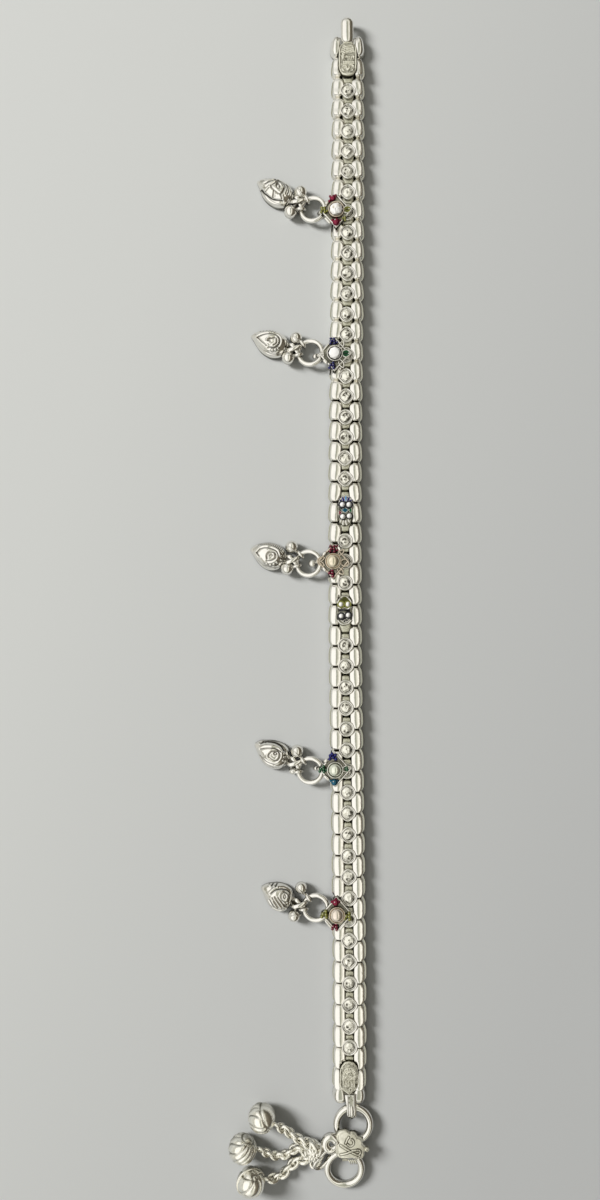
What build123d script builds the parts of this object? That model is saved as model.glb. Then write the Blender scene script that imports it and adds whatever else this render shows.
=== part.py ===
"""A silver payal anklet, unfastened and laid straight on a table, in millimetres.

+Y runs along the band towards the hook, +X to the right, +Z away from the table.
The origin is the middle of the band's flat back, so every piece rests on z = 0.
"""

from build123d import *
from math import cos, pi, radians, sin, tan
import os

# ---------------------------------------------------------------- band
PITCH = 4.7            # one row of links
ROWS = 50              # rows between the two end plates
ROWS_PER_SECTION = 5   # rows that one solid shows
GAP = 0.2              # slack between neighbouring links
LOBE_OFFSET = 2.25     # pillow column from the band's middle line
LOBE_RADIUS = 1.43     # pillow, at its middle
LOBE_END_RADIUS = 0.75
LOBE_AXIS_HEIGHT = 1.25
ROD_RADIUS = 0.5       # pin that runs down each column
PLATE_TOP = 2.05       # centre links
PLATE_HALF_WIDTH = 1.28
PLATE_END_HALF_WIDTH = 0.6
PLATE_HALF_LENGTH = 2.13
CUP_RADIUS = 1.42      # round stone cup on each centre link
CUP_BASE = 1.95
CUP_TOP = 2.6
END_OFFSET = 2.45      # shorter pillows at the two ends
END_LEAN = 5.0         # degrees that they lean in
BOW = 0.85             # how far the laid band strays sideways
BOW_REACH = 100.0

# ---------------------------------------------------------------- plates on the band
SEAT_HEIGHT = 2.1      # floor of the pocket that a plate is let into
SEAT_GAP = 0.15
PLATE_BASE = SEAT_HEIGHT + 0.1
STAMP_TOP = 2.95
HOOK_PLATE = dict(x=0.77, y=115.6, width=4.1, length=7.8, corner=1.7)
END_PLATE = dict(x=0.68, y=-114.7, width=3.9, length=6.8, corner=1.3)
PLAQUE_WIDTH = 3.6
PLAQUE_LENGTH = 6.2
PLAQUE_ROWS = (22.38, 27.35)

# ---------------------------------------------------------------- hook
HOOK_X = 0.62
HOOK_WIDTH = 2.7
HOOK_TIP_Y = 125.3
HOOK_THICKNESS = 0.75
HOOK_CLEARANCE = 1.55  # takes the end ring's wire
HOOK_RETURN = 3.4      # length of the part that turns back underneath

# ---------------------------------------------------------------- end rings
RING_RADIUS = 3.7      # to the middle of the wire
RING_WIRE = 0.7        # wire radius
RING_HEIGHT = 1.5
UPPER_RING = (1.66, -125.3)
LOWER_RING = (-0.33, -135.0)
LOWER_RING_TIP = 6.0   # degrees, so that its free side lies on the table
STRAP_X = 1.0
STRAP_START_Y = -118.25
STRAP_THICKNESS = 0.45
STRAP_WIDTH = 1.3
STRAP_GAP = 0.3

# ---------------------------------------------------------------- ornament that joins the rings
DOME_CENTRE = (1.1, -128.75)
DOME_RADII = (3.65, 3.55)
DOME_BASE = RING_HEIGHT + RING_WIRE + 0.15
DOME_TOP = 4.2
FOOT_TOP = RING_HEIGHT - RING_WIRE - 0.15
LEG = 0.5
CURL_CENTRE = (-3.75, -129.1)
CURL_RADIUS = 1.5
CURL_WIRE = 0.6
CURL_HEIGHT = 2.5

# ---------------------------------------------------------------- tassel
LINK_TURN = 50.0       # direction of its long side
LINK_TILT = 62.0       # how steeply it leans
LINK_STRAIGHT = 2.4
LINK_RADIUS = 1.4      # to the middle of the wire
LINK_WIRE = 0.32
CHAIN_RADIUS = 0.65
BELL_RADIUS = 3.1
# each chain, from the oval link out to its bell
CHAINS = (
    ((-7.4, -130.5, 3.0), (-11.3, -127.6, 1.3), (-15.75, -124.9, 2.4)),
    ((-7.9, -131.9, 1.9), (-11.5, -131.2, 0.9), (-15.0, -131.8, 0.9), (-19.5, -130.3, 2.4)),
    ((-7.7, -133.4, 1.0), (-12.6, -135.8, 0.75), (-15.1, -137.2, 0.9), (-17.7, -137.1, 2.2)),
)
BELLS = (
    dict(x=-18.5, y=-122.95),
    dict(x=-22.75, y=-129.6),
    dict(x=-21.0, y=-136.8),
)

# ---------------------------------------------------------------- drops
FLOWER_OFFSET = -2.75  # from the band's middle line
FLOWER_BASE = 2.8
FLOWER_PLATE = 0.6
FLOWER_HALF_WIDTH = 3.7
FLOWER_HALF_LENGTH = 4.1
PETAL_REACH = 2.7
PETAL_RADIUS = 1.2
BEZEL_RADIUS = 1.75
BEZEL_TOP = 4.3
STONE_RADIUS = 1.35
STONE_TOP = 4.9
JUMP_RADIUS = 2.25
JUMP_WIRE = 0.5
JUMP_HIGH = 2.1        # wire height under the flower
JUMP_LOW = 1.2         # wire height at the charm
LUG_RADIUS = 0.95
LUG_WIRE = 0.22
CHARM_REACH = 14.0     # ring's middle to the charm's tip
CHARM_END = 5.2
CHARM_HALF_WIDTH = 3.1
BALL_RADIUS = 1.35
# row on the band, lug from the flower's middle, heading of the ring and heading of the charm
DROPS = (
    dict(row=8, lug=-2.85, ring=156, charm=151),
    dict(row=15, lug=-2.95, ring=162, charm=162),
    dict(row=25, lug=-2.85, ring=187, charm=163),
    dict(row=35, lug=-2.9, ring=190, charm=155),
    dict(row=42, lug=-2.15, ring=160, charm=156),
)

os.makedirs("parts", exist_ok=True)


def save(piece, name):
    piece.part.label = name
    export_step(piece.part, f"parts/{name}.step")


def row_y(row):
    """Height of a row line along the band; row 0 is nearest the hook."""
    return (ROWS / 2 - row) * PITCH


def sway(y):
    """Sideways stray of the band's middle line."""
    return BOW * (1 - cos(pi * y / BOW_REACH)) / 2


def on_band(y, offset=0.0):
    """Place on the table at a height along the band, turned with the band."""
    slope = BOW * pi / BOW_REACH / 2 * sin(pi * y / BOW_REACH)
    return Location((sway(y), y, 0), (0, 0, -slope * 180 / pi)) * Location((offset, 0, 0))


def lobe(length, radius, end_radius):
    """A pillow link: a barrel along Y with a flat back."""
    half = length / 2
    with BuildPart() as shape:
        with BuildSketch(Plane.XY.offset(LOBE_AXIS_HEIGHT)):
            with BuildLine():
                Polyline((end_radius, -half), (0, -half), (0, half), (end_radius, half))
                ThreePointArc((end_radius, half), (radius, 0), (end_radius, -half))
            make_face()
        revolve(axis=Axis((0, 0, LOBE_AXIS_HEIGHT), (0, 1, 0)))
        split(bisect_by=Plane.XY, keep=Keep.TOP)
    return shape.part


def centre_link():
    """A hexagon plate with its stone cup and the cross pin that joins the two columns."""
    with BuildPart() as shape:
        with BuildSketch():
            with BuildLine():
                Polyline(
                    (PLATE_END_HALF_WIDTH, PLATE_HALF_LENGTH),
                    (PLATE_HALF_WIDTH, 0),
                    (PLATE_END_HALF_WIDTH, -PLATE_HALF_LENGTH),
                    (-PLATE_END_HALF_WIDTH, -PLATE_HALF_LENGTH),
                    (-PLATE_HALF_WIDTH, 0),
                    (-PLATE_END_HALF_WIDTH, PLATE_HALF_LENGTH),
                    close=True,
                )
            make_face()
        extrude(amount=PLATE_TOP)
        with Locations((0, 0, CUP_BASE)):
            Cylinder(CUP_RADIUS, CUP_TOP - CUP_BASE, align=(Align.CENTER, Align.CENTER, Align.MIN))
        with Locations((0, -PITCH * 0.14, LOBE_AXIS_HEIGHT)):
            Box(2 * LOBE_OFFSET, PITCH * 0.17, 2 * ROD_RADIUS)
    return shape.part


def outline(plate):
    """Footprint of a stamped plate, as a face on the table."""
    with BuildSketch() as shape:
        with Locations((plate["x"], plate["y"])):
            RectangleRounded(plate["width"], plate["length"], plate["corner"])
    return shape.sketch


def plaque_plate(row):
    """Place and size of an enamel plaque, in the same terms as the stamped plates."""
    y = row_y(row)
    return dict(x=sway(y), y=y, width=PLAQUE_WIDTH, length=PLAQUE_LENGTH, corner=1.2)


LOBE = lobe(PITCH - GAP, LOBE_RADIUS, LOBE_END_RADIUS)
TOP_PAIR = lobe(3.8, 1.15, 0.7)
FOOT_PAIR = lobe(3.2, 1.15, 0.75)
CENTRE_LINK = centre_link()
LET_IN = [HOOK_PLATE, END_PLATE] + [plaque_plate(row) for row in PLAQUE_ROWS]


def band_section(first):
    """Five rows of links as one solid, pinned together along both columns."""
    last = first + ROWS_PER_SECTION
    with BuildPart() as section:
        for row in range(first, last):
            middle = on_band(row_y(row + 0.5))
            for side in (-1, 1):
                with Locations(middle * Location((side * LOBE_OFFSET, 0, 0))):
                    add(LOBE)
            if row > 0:
                with Locations(on_band(row_y(row))):
                    add(CENTRE_LINK)
        for side in (-1, 1):
            with Locations(
                on_band(row_y((first + last) / 2)) * Location((side * LOBE_OFFSET, 0, LOBE_AXIS_HEIGHT))
            ):
                Cylinder(ROD_RADIUS, ROWS_PER_SECTION * PITCH - 2 * GAP, rotation=(90, 0, 0))
        if first == 0:
            end_pair(TOP_PAIR, row_y(first), 1)
        if last == ROWS:
            end_pair(FOOT_PAIR, row_y(last), -1)
        for plate in LET_IN:
            if row_y(last) - PITCH < plate["y"] < row_y(first) + PITCH:
                with BuildSketch(Plane.XY.offset(SEAT_HEIGHT)):
                    add(offset(outline(plate), SEAT_GAP, mode=Mode.PRIVATE))
                extrude(amount=CUP_TOP, mode=Mode.SUBTRACT)
    return section


def end_pair(pillow, y, way):
    """The two shorter pillows at an end of the band, and the bar that ties them in."""
    middle = y + way * (pillow.bounding_box().size.Y / 2 + GAP / 2)
    for side in (-1, 1):
        with Locations(Location((sway(y) + side * END_OFFSET, middle, 0), (0, 0, side * way * END_LEAN))):
            add(pillow)
    with Locations((sway(y), y, LOBE_AXIS_HEIGHT)):
        Box(2 * LOBE_OFFSET, 1.2, 2 * ROD_RADIUS)


def hook_plate():
    """Stamped plate that runs out into the hook, which turns down and back underneath."""
    bend = (HOOK_CLEARANCE + HOOK_THICKNESS) / 2
    low = HOOK_THICKNESS / 2
    high = low + 2 * bend
    turn_y = HOOK_TIP_Y - bend - HOOK_THICKNESS / 2
    plate_end = HOOK_PLATE["y"] + HOOK_PLATE["length"] / 2
    with BuildPart() as piece:
        with BuildSketch(Plane.XY.offset(PLATE_BASE)):
            add(outline(HOOK_PLATE))
        extrude(amount=STAMP_TOP - PLATE_BASE)
        with BuildLine(Plane.YZ.offset(HOOK_X)) as path:
            out = Line((plate_end - 1.0, high), (turn_y, high))
            round_end = ThreePointArc(out @ 1, (turn_y + bend, low + bend), (turn_y, low))
            Line(round_end @ 1, (turn_y - HOOK_RETURN, low))
        with BuildSketch(Plane(path.line @ 0, x_dir=(1, 0, 0), z_dir=(0, 1, 0))):
            RectangleRounded(HOOK_WIDTH, HOOK_THICKNESS, HOOK_THICKNESS * 0.45)
        sweep()
    return piece


def end_plate():
    """Stamped plate at the ring end, arched at the top and bluntly pointed at the foot."""
    half = END_PLATE["width"] / 2
    with BuildPart() as piece:
        with BuildSketch(Plane.XY.offset(PLATE_BASE)):
            add(outline(END_PLATE))
        extrude(amount=STAMP_TOP - PLATE_BASE)
        rim = piece.faces().sort_by(Axis.Z)[-1].edges()
        chamfer(rim, half * 0.1)
    return piece


def enamel_plaque(row):
    """Raised enamelled motif over the centre links, with four small stones in it."""
    plate = plaque_plate(row)
    with BuildPart() as piece:
        with BuildSketch(Plane.XY.offset(PLATE_BASE)):
            add(outline(plate))
        extrude(amount=0.6)
        for side in (-1, 1):
            for end in (-1, 1):
                with Locations((plate["x"] + side * 0.75, plate["y"] + end * 1.45, PLATE_BASE + 0.45)):
                    Sphere(0.6, arc_size1=0)
    return piece


def strap_loop():
    """Folded strip that goes round the upper ring and back to the band."""
    bend = RING_WIRE + STRAP_GAP + STRAP_THICKNESS / 2
    turn_y = UPPER_RING[1] + RING_RADIUS - STRAP_GAP / 2
    with BuildPart() as piece:
        with BuildLine(Plane.YZ.offset(STRAP_X)) as path:
            top = Line((STRAP_START_Y, RING_HEIGHT + bend), (turn_y, RING_HEIGHT + bend))
            fold = ThreePointArc(top @ 1, (turn_y - bend, RING_HEIGHT), (turn_y, RING_HEIGHT - bend))
            Line(fold @ 1, (STRAP_START_Y, RING_HEIGHT - bend))
        with BuildSketch(Plane(path.line @ 0, x_dir=(1, 0, 0), z_dir=(0, -1, 0))):
            Rectangle(STRAP_WIDTH, STRAP_THICKNESS)
        sweep()
    return piece


def end_ring(centre, tip):
    """A plain closed ring of thick wire; tip lowers its far side to the table."""
    place = Location((centre[0], centre[1], RING_HEIGHT - RING_RADIUS * sin(radians(tip))))
    with BuildPart() as piece:
        with Locations(place * Location((0, 0, 0), (tip, 0, 0))):
            Torus(RING_RADIUS, RING_WIRE)
    return piece


def ring_ornament():
    """Dome over both rings, closed underneath by a foot and two legs, with a curl for the tassel."""
    leg_places = (
        (UPPER_RING[0], UPPER_RING[1] - RING_RADIUS + RING_WIRE + 2 * SEAT_GAP + LEG / 2),
        (LOWER_RING[0] + 0.1, LOWER_RING[1] + RING_RADIUS - RING_WIRE - 2 * SEAT_GAP - LEG / 2),
    )
    half_leg = LEG * 1.3
    leg_top = DOME_BASE + 0.3
    with BuildPart() as piece:
        with BuildSketch(Plane.XY.offset(DOME_BASE)):
            with Locations(DOME_CENTRE):
                Ellipse(*DOME_RADII)
        with BuildSketch(Plane.XY.offset((DOME_BASE + DOME_TOP) / 2)):
            with Locations(DOME_CENTRE):
                Ellipse(DOME_RADII[0] * 0.93, DOME_RADII[1] * 0.93)
        with BuildSketch(Plane.XY.offset(DOME_TOP)):
            with Locations(DOME_CENTRE):
                Ellipse(DOME_RADII[0] * 0.5, DOME_RADII[1] * 0.5)
        loft()
        for x, y in leg_places:
            with Locations((x, y, 0)):
                Box(2 * half_leg, LEG, leg_top, align=(Align.CENTER, Align.CENTER, Align.MIN))
        with BuildSketch():
            with BuildLine():
                (north_x, north_y), (south_x, south_y) = leg_places
                Polyline(
                    (north_x - half_leg, north_y + LEG / 2),
                    (north_x + half_leg, north_y + LEG / 2),
                    (south_x + half_leg, south_y - LEG / 2),
                    (south_x - half_leg, south_y - LEG / 2),
                    close=True,
                )
            make_face()
        extrude(amount=FOOT_TOP)
        with BuildLine(Plane.XY.offset(CURL_HEIGHT)) as path:
            CenterArc(CURL_CENTRE, CURL_RADIUS, 20, 320)
        with BuildSketch(Plane(path.line @ 0, z_dir=path.line % 0)):
            Circle(CURL_WIRE)
        sweep()
    return piece


def tassel_link():
    """Oval link that hangs in the curl and gathers the three chains."""
    half = LINK_STRAIGHT / 2
    curl = Location((*CURL_CENTRE, CURL_HEIGHT), (0, 0, LINK_TURN))
    place = curl * Location((-CURL_RADIUS - half, 0, 0), (LINK_TILT, 0, 0))
    with BuildPart() as piece:
        with BuildLine(Plane(place)) as path:
            side = Line((-half, LINK_RADIUS), (half, LINK_RADIUS))
            ThreePointArc(side @ 1, (half + LINK_RADIUS, 0), (half, -LINK_RADIUS))
            back = Line((half, -LINK_RADIUS), (-half, -LINK_RADIUS))
            ThreePointArc(back @ 1, (-half - LINK_RADIUS, 0), side @ 0)
        with BuildSketch(Plane(path.line @ 0, z_dir=path.line % 0)):
            Circle(LINK_WIRE)
        sweep()
    return piece


def bend_radii(points):
    """Radius at each inner point, from the shorter run and the turn there."""
    radii = []
    for before, here, after in zip(points, points[1:], points[2:]):
        run_in = Vector(*here) - Vector(*before)
        run_out = Vector(*after) - Vector(*here)
        turn = radians(run_in.get_angle(run_out))
        radii.append(0.45 * min(run_in.length, run_out.length) / tan(turn / 2))
    return radii


def tassel_chain(points):
    """A fine rope chain as one tube along its true route."""
    radii = bend_radii(points)
    with BuildPart() as piece:
        with BuildLine() as path:
            FilletPolyline(*points, radius=radii)
        with BuildSketch(Plane(path.line @ 0, z_dir=path.line % 0)):
            Circle(CHAIN_RADIUS)
        sweep()
    length = sum(edge.length for edge in path.edges())
    print("chain radii", [round(r, 1) for r in radii], "length", round(length, 2),
          "volume ratio", round(piece.part.volume / (pi * CHAIN_RADIUS**2 * length), 3))
    return piece


def bell(place, chain_end):
    """A closed jingle bell lying on the table, with a short neck towards its chain."""
    centre = Vector(place["x"], place["y"], BELL_RADIUS)
    heading = (Vector(*chain_end) - centre).normalized()
    neck_length = (Vector(*chain_end) - centre).length - 2 * SEAT_GAP
    with BuildPart() as piece:
        with Locations(Plane(centre, z_dir=heading).location):
            Sphere(BELL_RADIUS)
            Cylinder(CHAIN_RADIUS, neck_length, align=(Align.CENTER, Align.CENTER, Align.MIN))
    return piece


def flower_place(drop):
    y = row_y(drop["row"])
    return Location((sway(y) + FLOWER_OFFSET, y, 0))


def flower_setting(drop):
    """Lozenge plate with four petals, a bezel, and a lug underneath for the jump ring."""
    with BuildPart() as piece:
        with BuildSketch(Plane.XY.offset(FLOWER_BASE)):
            with BuildLine():
                Polyline(
                    (FLOWER_HALF_WIDTH, 0),
                    (0, FLOWER_HALF_LENGTH),
                    (-FLOWER_HALF_WIDTH, 0),
                    (0, -FLOWER_HALF_LENGTH),
                    close=True,
                )
            make_face()
        extrude(amount=FLOWER_PLATE)
        with PolarLocations(PETAL_REACH, 4):
            with Locations((0, 0, FLOWER_BASE + FLOWER_PLATE)):
                Sphere(PETAL_RADIUS, arc_size1=0)
        with Locations((0, 0, FLOWER_BASE)):
            Cylinder(BEZEL_RADIUS, BEZEL_TOP - FLOWER_BASE, align=(Align.CENTER, Align.CENTER, Align.MIN))
        with Locations((0, 0, FLOWER_BASE + FLOWER_PLATE)):
            Cylinder(STONE_RADIUS + 0.1, BEZEL_TOP, align=(Align.CENTER, Align.CENTER, Align.MIN),
                     mode=Mode.SUBTRACT)
        with Locations((drop["lug"], 0, JUMP_HIGH)):
            Torus(LUG_RADIUS, LUG_WIRE, rotation=(90, 0, 0))
    piece.part = piece.part.moved(flower_place(drop))
    return piece


def flower_stone(drop):
    """Round stone with a sloped crown, seated in the bezel."""
    base = FLOWER_BASE + FLOWER_PLATE + 0.1
    standing = (Align.CENTER, Align.CENTER, Align.MIN)
    with BuildPart() as piece:
        with Locations((0, 0, base)):
            Cylinder(STONE_RADIUS, BEZEL_TOP - base, align=standing)
        with Locations((0, 0, BEZEL_TOP)):
            Cone(STONE_RADIUS, STONE_RADIUS * 0.55, STONE_TOP - BEZEL_TOP, align=standing)
    piece.part = piece.part.moved(flower_place(drop))
    return piece


def ring_centre(drop):
    """Middle of a drop's jump ring, which runs out from the flower's lug."""
    span = (JUMP_RADIUS**2 - ((JUMP_HIGH - JUMP_LOW) / 2) ** 2) ** 0.5
    start = flower_place(drop) * Location((drop["lug"], 0, (JUMP_HIGH + JUMP_LOW) / 2))
    return start * Location((0, 0, 0), (0, 0, drop["ring"])) * Location((span, 0, 0)), span


def jump_ring(drop):
    """Round wire ring that leans from the flower down to the charm."""
    place, span = ring_centre(drop)
    lean = Vector(span, 0, 0).get_angle(Vector(span, 0, (JUMP_HIGH - JUMP_LOW) / 2))
    with BuildPart() as piece:
        with Locations(place * Location((0, 0, 0), (0, lean, 0))):
            Torus(JUMP_RADIUS, JUMP_WIRE)
    return piece


def mango_charm(drop):
    """Domed mango drop with a flat back, a neck between two balls, and a loop round its ring."""
    place, span = ring_centre(drop)
    centre = place.position
    neck_y = 0.35
    with BuildPart() as piece:
        with BuildSketch():
            with BuildLine():
                widest = (CHARM_REACH * 0.56, CHARM_HALF_WIDTH)
                Line((CHARM_END, 0), (CHARM_REACH, 0))
                ThreePointArc((CHARM_REACH, 0), (CHARM_REACH * 0.8, CHARM_HALF_WIDTH * 0.72), widest)
                ThreePointArc(widest, (CHARM_END + 0.75, CHARM_HALF_WIDTH * 0.76), (CHARM_END, 0))
            make_face()
        revolve(axis=Axis.X, revolution_arc=180)
        with Locations((CHARM_END + 0.2, 2.75, BALL_RADIUS), (CHARM_END - 0.6, -2.05, BALL_RADIUS)):
            Sphere(BALL_RADIUS)
        with Locations((CHARM_END - 0.2, neck_y, JUMP_LOW)):
            Box(1.0, 4.2, 1.2)
        with BuildSketch(Plane.YZ.offset(span + LUG_RADIUS)):
            with Locations((0, JUMP_LOW)):
                Circle(0.75)
        extrude(amount=CHARM_END - span - LUG_RADIUS + 0.5)
        with Locations((span, 0, JUMP_LOW)):
            Torus(LUG_RADIUS, LUG_WIRE, rotation=(90, 0, 0))
    piece.part = piece.part.moved(Location((centre.X, centre.Y, 0), (0, 0, drop["charm"])))
    return piece


for number, first in enumerate(range(0, ROWS, ROWS_PER_SECTION), 1):
    save(band_section(first), f"band_section_{number}")

save(hook_plate(), "hook_plate")
save(end_plate(), "end_plate")
for number, row in enumerate(PLAQUE_ROWS, 1):
    save(enamel_plaque(row), f"enamel_plaque_{number}")

save(strap_loop(), "strap_loop")
save(end_ring(UPPER_RING, 0), "upper_ring")
save(end_ring(LOWER_RING, LOWER_RING_TIP), "lower_ring")
save(ring_ornament(), "ring_ornament")

save(tassel_link(), "tassel_link")
for number, (points, place) in enumerate(zip(CHAINS, BELLS), 1):
    save(tassel_chain(points), f"tassel_chain_{number}")
    save(bell(place, points[-1]), f"bell_{number}")

for number, drop in enumerate(DROPS, 1):
    save(flower_setting(drop), f"flower_setting_{number}")
    save(flower_stone(drop), f"flower_stone_{number}")
    save(jump_ring(drop), f"jump_ring_{number}")
    save(mango_charm(drop), f"mango_charm_{number}")
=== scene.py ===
# %% [markdown]
# # A silver payal anklet, laid straight on a table
# The imported CAD model is the fixed frame. Every piece below is built in the same place, in
# mesh code, with the finish that the real piece has. Lengths are written in millimetres and
# turned to metres where a mesh is made, because jewellers measure in millimetres.

# %% Load the frame
import math
import bmesh
import bpy
import numpy as np
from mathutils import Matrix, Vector


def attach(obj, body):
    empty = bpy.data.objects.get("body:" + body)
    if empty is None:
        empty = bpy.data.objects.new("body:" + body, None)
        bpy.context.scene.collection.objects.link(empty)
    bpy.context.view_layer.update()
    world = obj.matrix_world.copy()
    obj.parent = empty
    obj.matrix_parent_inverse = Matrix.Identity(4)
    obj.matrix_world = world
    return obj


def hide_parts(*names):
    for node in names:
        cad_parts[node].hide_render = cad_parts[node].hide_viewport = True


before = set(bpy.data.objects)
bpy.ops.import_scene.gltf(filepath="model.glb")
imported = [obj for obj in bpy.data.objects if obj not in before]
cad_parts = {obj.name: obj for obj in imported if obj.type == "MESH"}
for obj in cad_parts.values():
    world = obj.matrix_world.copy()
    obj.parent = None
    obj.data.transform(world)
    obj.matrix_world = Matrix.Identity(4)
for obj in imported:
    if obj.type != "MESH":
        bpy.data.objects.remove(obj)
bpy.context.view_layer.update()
MM = 0.001

# %% [markdown]
# ## Camera, light and table
# The anklet is looked at from straight above, close and with a wide lens, so cups and pillows
# lean outwards a little towards both ends. Polished silver shows only what it reflects. A
# jeweller therefore lights it with long soft panels: here they run along the anklet, a broad
# white one on the left, a narrow one on the right, and dim card between them.

# %% Camera
camera_data = bpy.data.cameras.new("camera")
camera_data.lens = 26
camera_data.sensor_width = 36
camera_data.clip_start = 0.01
camera_data.clip_end = 20
camera = bpy.data.objects.new("camera", camera_data)
camera.location = (-0.01019, -0.01433, 0.19776)
camera.rotation_euler = (math.radians(1.668), 0, 0)
bpy.context.scene.collection.objects.link(camera)
bpy.context.scene.camera = camera
bpy.context.scene.view_settings.view_transform = "Standard"
print("camera", tuple(camera.location))


# %% Colours and nodes
def colour(hex_code):
    """An sRGB hex colour as linear red, green, blue, alpha."""
    parts = [int(hex_code[i:i + 2], 16) / 255 for i in (1, 3, 5)]
    return [c / 12.92 if c <= 0.04045 else ((c + 0.055) / 1.055) ** 2.4 for c in parts] + [1]


def node(tree, kind, settings=()):
    """Adds a node. Settings name its properties and inputs; an input given an output is linked."""
    made = tree.nodes.new(kind)
    for name, value in dict(settings).items():
        if isinstance(value, bpy.types.NodeSocket):
            tree.links.new(made.inputs[name], value)
        elif isinstance(name, str) and hasattr(made, name):
            setattr(made, name, value)
        else:
            made.inputs[name].default_value = value
    return made


def maths(tree, operation, *inputs, clamp=False):
    """A sum over numbers and node outputs."""
    settings = {"operation": operation, "use_clamp": clamp, **dict(enumerate(inputs))}
    return node(tree, "ShaderNodeMath", settings).outputs[0]


def remap(tree, source, low, high, to_low=0.0, to_high=1.0, smooth=False):
    """A value moved from one range to another, and held at its ends."""
    kind = "SMOOTHSTEP" if smooth else "LINEAR"
    settings = {"interpolation_type": kind, "From Min": low, "From Max": high, "To Min": to_low,
                "To Max": to_high, "Value": source}
    return node(tree, "ShaderNodeMapRange", settings).outputs[0]


def mixed(tree, share, first, second):
    """A colour between two colours, which may be outputs."""
    settings = {"data_type": "RGBA", 0: share, 6: first, 7: second}
    return node(tree, "ShaderNodeMix", settings).outputs[2]


def cards(tree, share, table):
    """Card colours round a half turn, from (angle, colour) pairs."""
    made = node(tree, "ShaderNodeValToRGB", {0: share})
    stops = made.color_ramp.elements
    for i, (angle, code) in enumerate(table):
        position = 0.5 + angle / 180
        stop = stops[i] if i < 2 else stops.new(position)
        stop.position = position
        stop.color = colour(code)
    return made.outputs[0]


print("a middle grey in linear light", round(colour("#808080")[0], 3))

# %% Soft panels round the anklet
# Each row is an angle from straight up about the anklet's length, left negative, and a colour.
PANELS = (
    (-90, "#BAB9B2"),
    (-73, "#C2C1BA"),
    (-70, "#8C8A7E"),
    (-66, "#8C8A7E"),
    (-59, "#FBF9F4"),
    (-8, "#F4F2EE"),
    (-5, "#98998C"),
    (3, "#98998C"),
    (6, "#A6A698"),
    (12, "#A6A698"),
    (15, "#D2CFC3"),
    (22, "#DAD8CC"),
    (24, "#FEFBF2"),
    (29, "#FEFBF2"),
    (32, "#726C5E"),
    (60, "#5C564B"),
    (75, "#48433A"),
    (90, "#48433A"),
)
# Towards the head and the foot of the band the grey card ends and the tent is pale.
PANELS_BEYOND = ((-90, "#8E8D86"), (-66, "#A9A9A2"), (-56, "#F5F4F0"), (-10, "#E0DFD8"),
                 (24, "#D8D8CB"), (38, "#7D786B"), (75, "#4E493F"), (90, "#3E3A33"))
world = bpy.data.worlds.new("studio")
bpy.context.scene.world = world
world.use_nodes = True
tree = world.node_tree
tree.nodes.clear()
direction = node(tree, "ShaderNodeTexCoord").outputs["Generated"]
sideways, lengthwise, upwards = node(tree, "ShaderNodeSeparateXYZ", {0: direction}).outputs
share = remap(tree, maths(tree, "ARCTAN2", sideways, upwards), -math.pi / 2, math.pi / 2)
overhead = cards(tree, share, PANELS)
beyond = cards(tree, share, PANELS_BEYOND)
end_share = maths(tree, "ABSOLUTE", lengthwise)
panels = mixed(tree, remap(tree, end_share, 0.60, 0.80, smooth=True), overhead, beyond)
fade = remap(tree, end_share, 0.75, 0.97, 1.2, 0.75, smooth=True)
path = node(tree, "ShaderNodeLightPath").outputs
# Metal and glass show the pale tent; the board and the pastes get a lower, even share of it.
shown = maths(tree, "MAXIMUM", path["Is Glossy Ray"], path["Is Transmission Ray"])
level = remap(tree, shown, 0, 1, 0.34, 1.0)
# The tent is a little greyer over the head of the band.
head = remap(tree, lengthwise, 0.22, 0.75, 1.0, 0.88)
strength = maths(tree, "MULTIPLY", maths(tree, "MULTIPLY", fade, head), level)
lit = node(tree, "ShaderNodeBackground", {"Color": panels, "Strength": strength})
plain = node(tree, "ShaderNodeBackground", {"Color": colour("#C9CBC8"), "Strength": 1.0})
seen = node(tree, "ShaderNodeMixShader", {0: path["Is Camera Ray"], 1: lit.outputs[0],
                                          2: plain.outputs[0]})
node(tree, "ShaderNodeOutputWorld", {"Surface": seen.outputs[0]})
print("panels", len(PANELS))

# %% One soft lamp from the upper left
lamp_data = bpy.data.lights.new("soft_lamp", "AREA")
lamp_data.shape = "DISK"
lamp_data.size = 0.55
lamp_data.energy = 27.0
lamp_data.color = (1.0, 0.99, 0.975)
lamp = bpy.data.objects.new("soft_lamp", lamp_data)
lamp.location = (-1.20, 0.50, 0.86)
aim = Vector((0, 0, 0)) - lamp.location
lamp.rotation_euler = aim.to_track_quat("-Z", "Y").to_euler()
lamp.visible_glossy = False
bpy.context.scene.collection.objects.link(lamp)
print("lamp", tuple(lamp.location))


# %% [markdown]
# ## Tools for building the pieces
# Every piece is made of closed shells: grids of points that wrap round, with caps. Several
# shells are joined in one mesh, as solder joins them on the bench. Each point also carries a
# tarnish value from 0 to 1. In recesses it is the dark sulphide that polishing never
# reaches; in gaps between parts, low near the table and on steep sides it is painted shade.

# %% Shells
def grid_faces(rows, columns, closed):
    """Four-sided faces over a grid of points whose columns go round; closed joins the last row
    to the first."""
    r, c = np.meshgrid(np.arange(rows if closed else rows - 1), np.arange(columns), indexing="ij")
    r2, c2 = (r + 1) % rows, (c + 1) % columns
    return np.stack([r * columns + c, r * columns + c2, r2 * columns + c2, r2 * columns + c],
                    -1).reshape(-1, 4).tolist()


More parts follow.
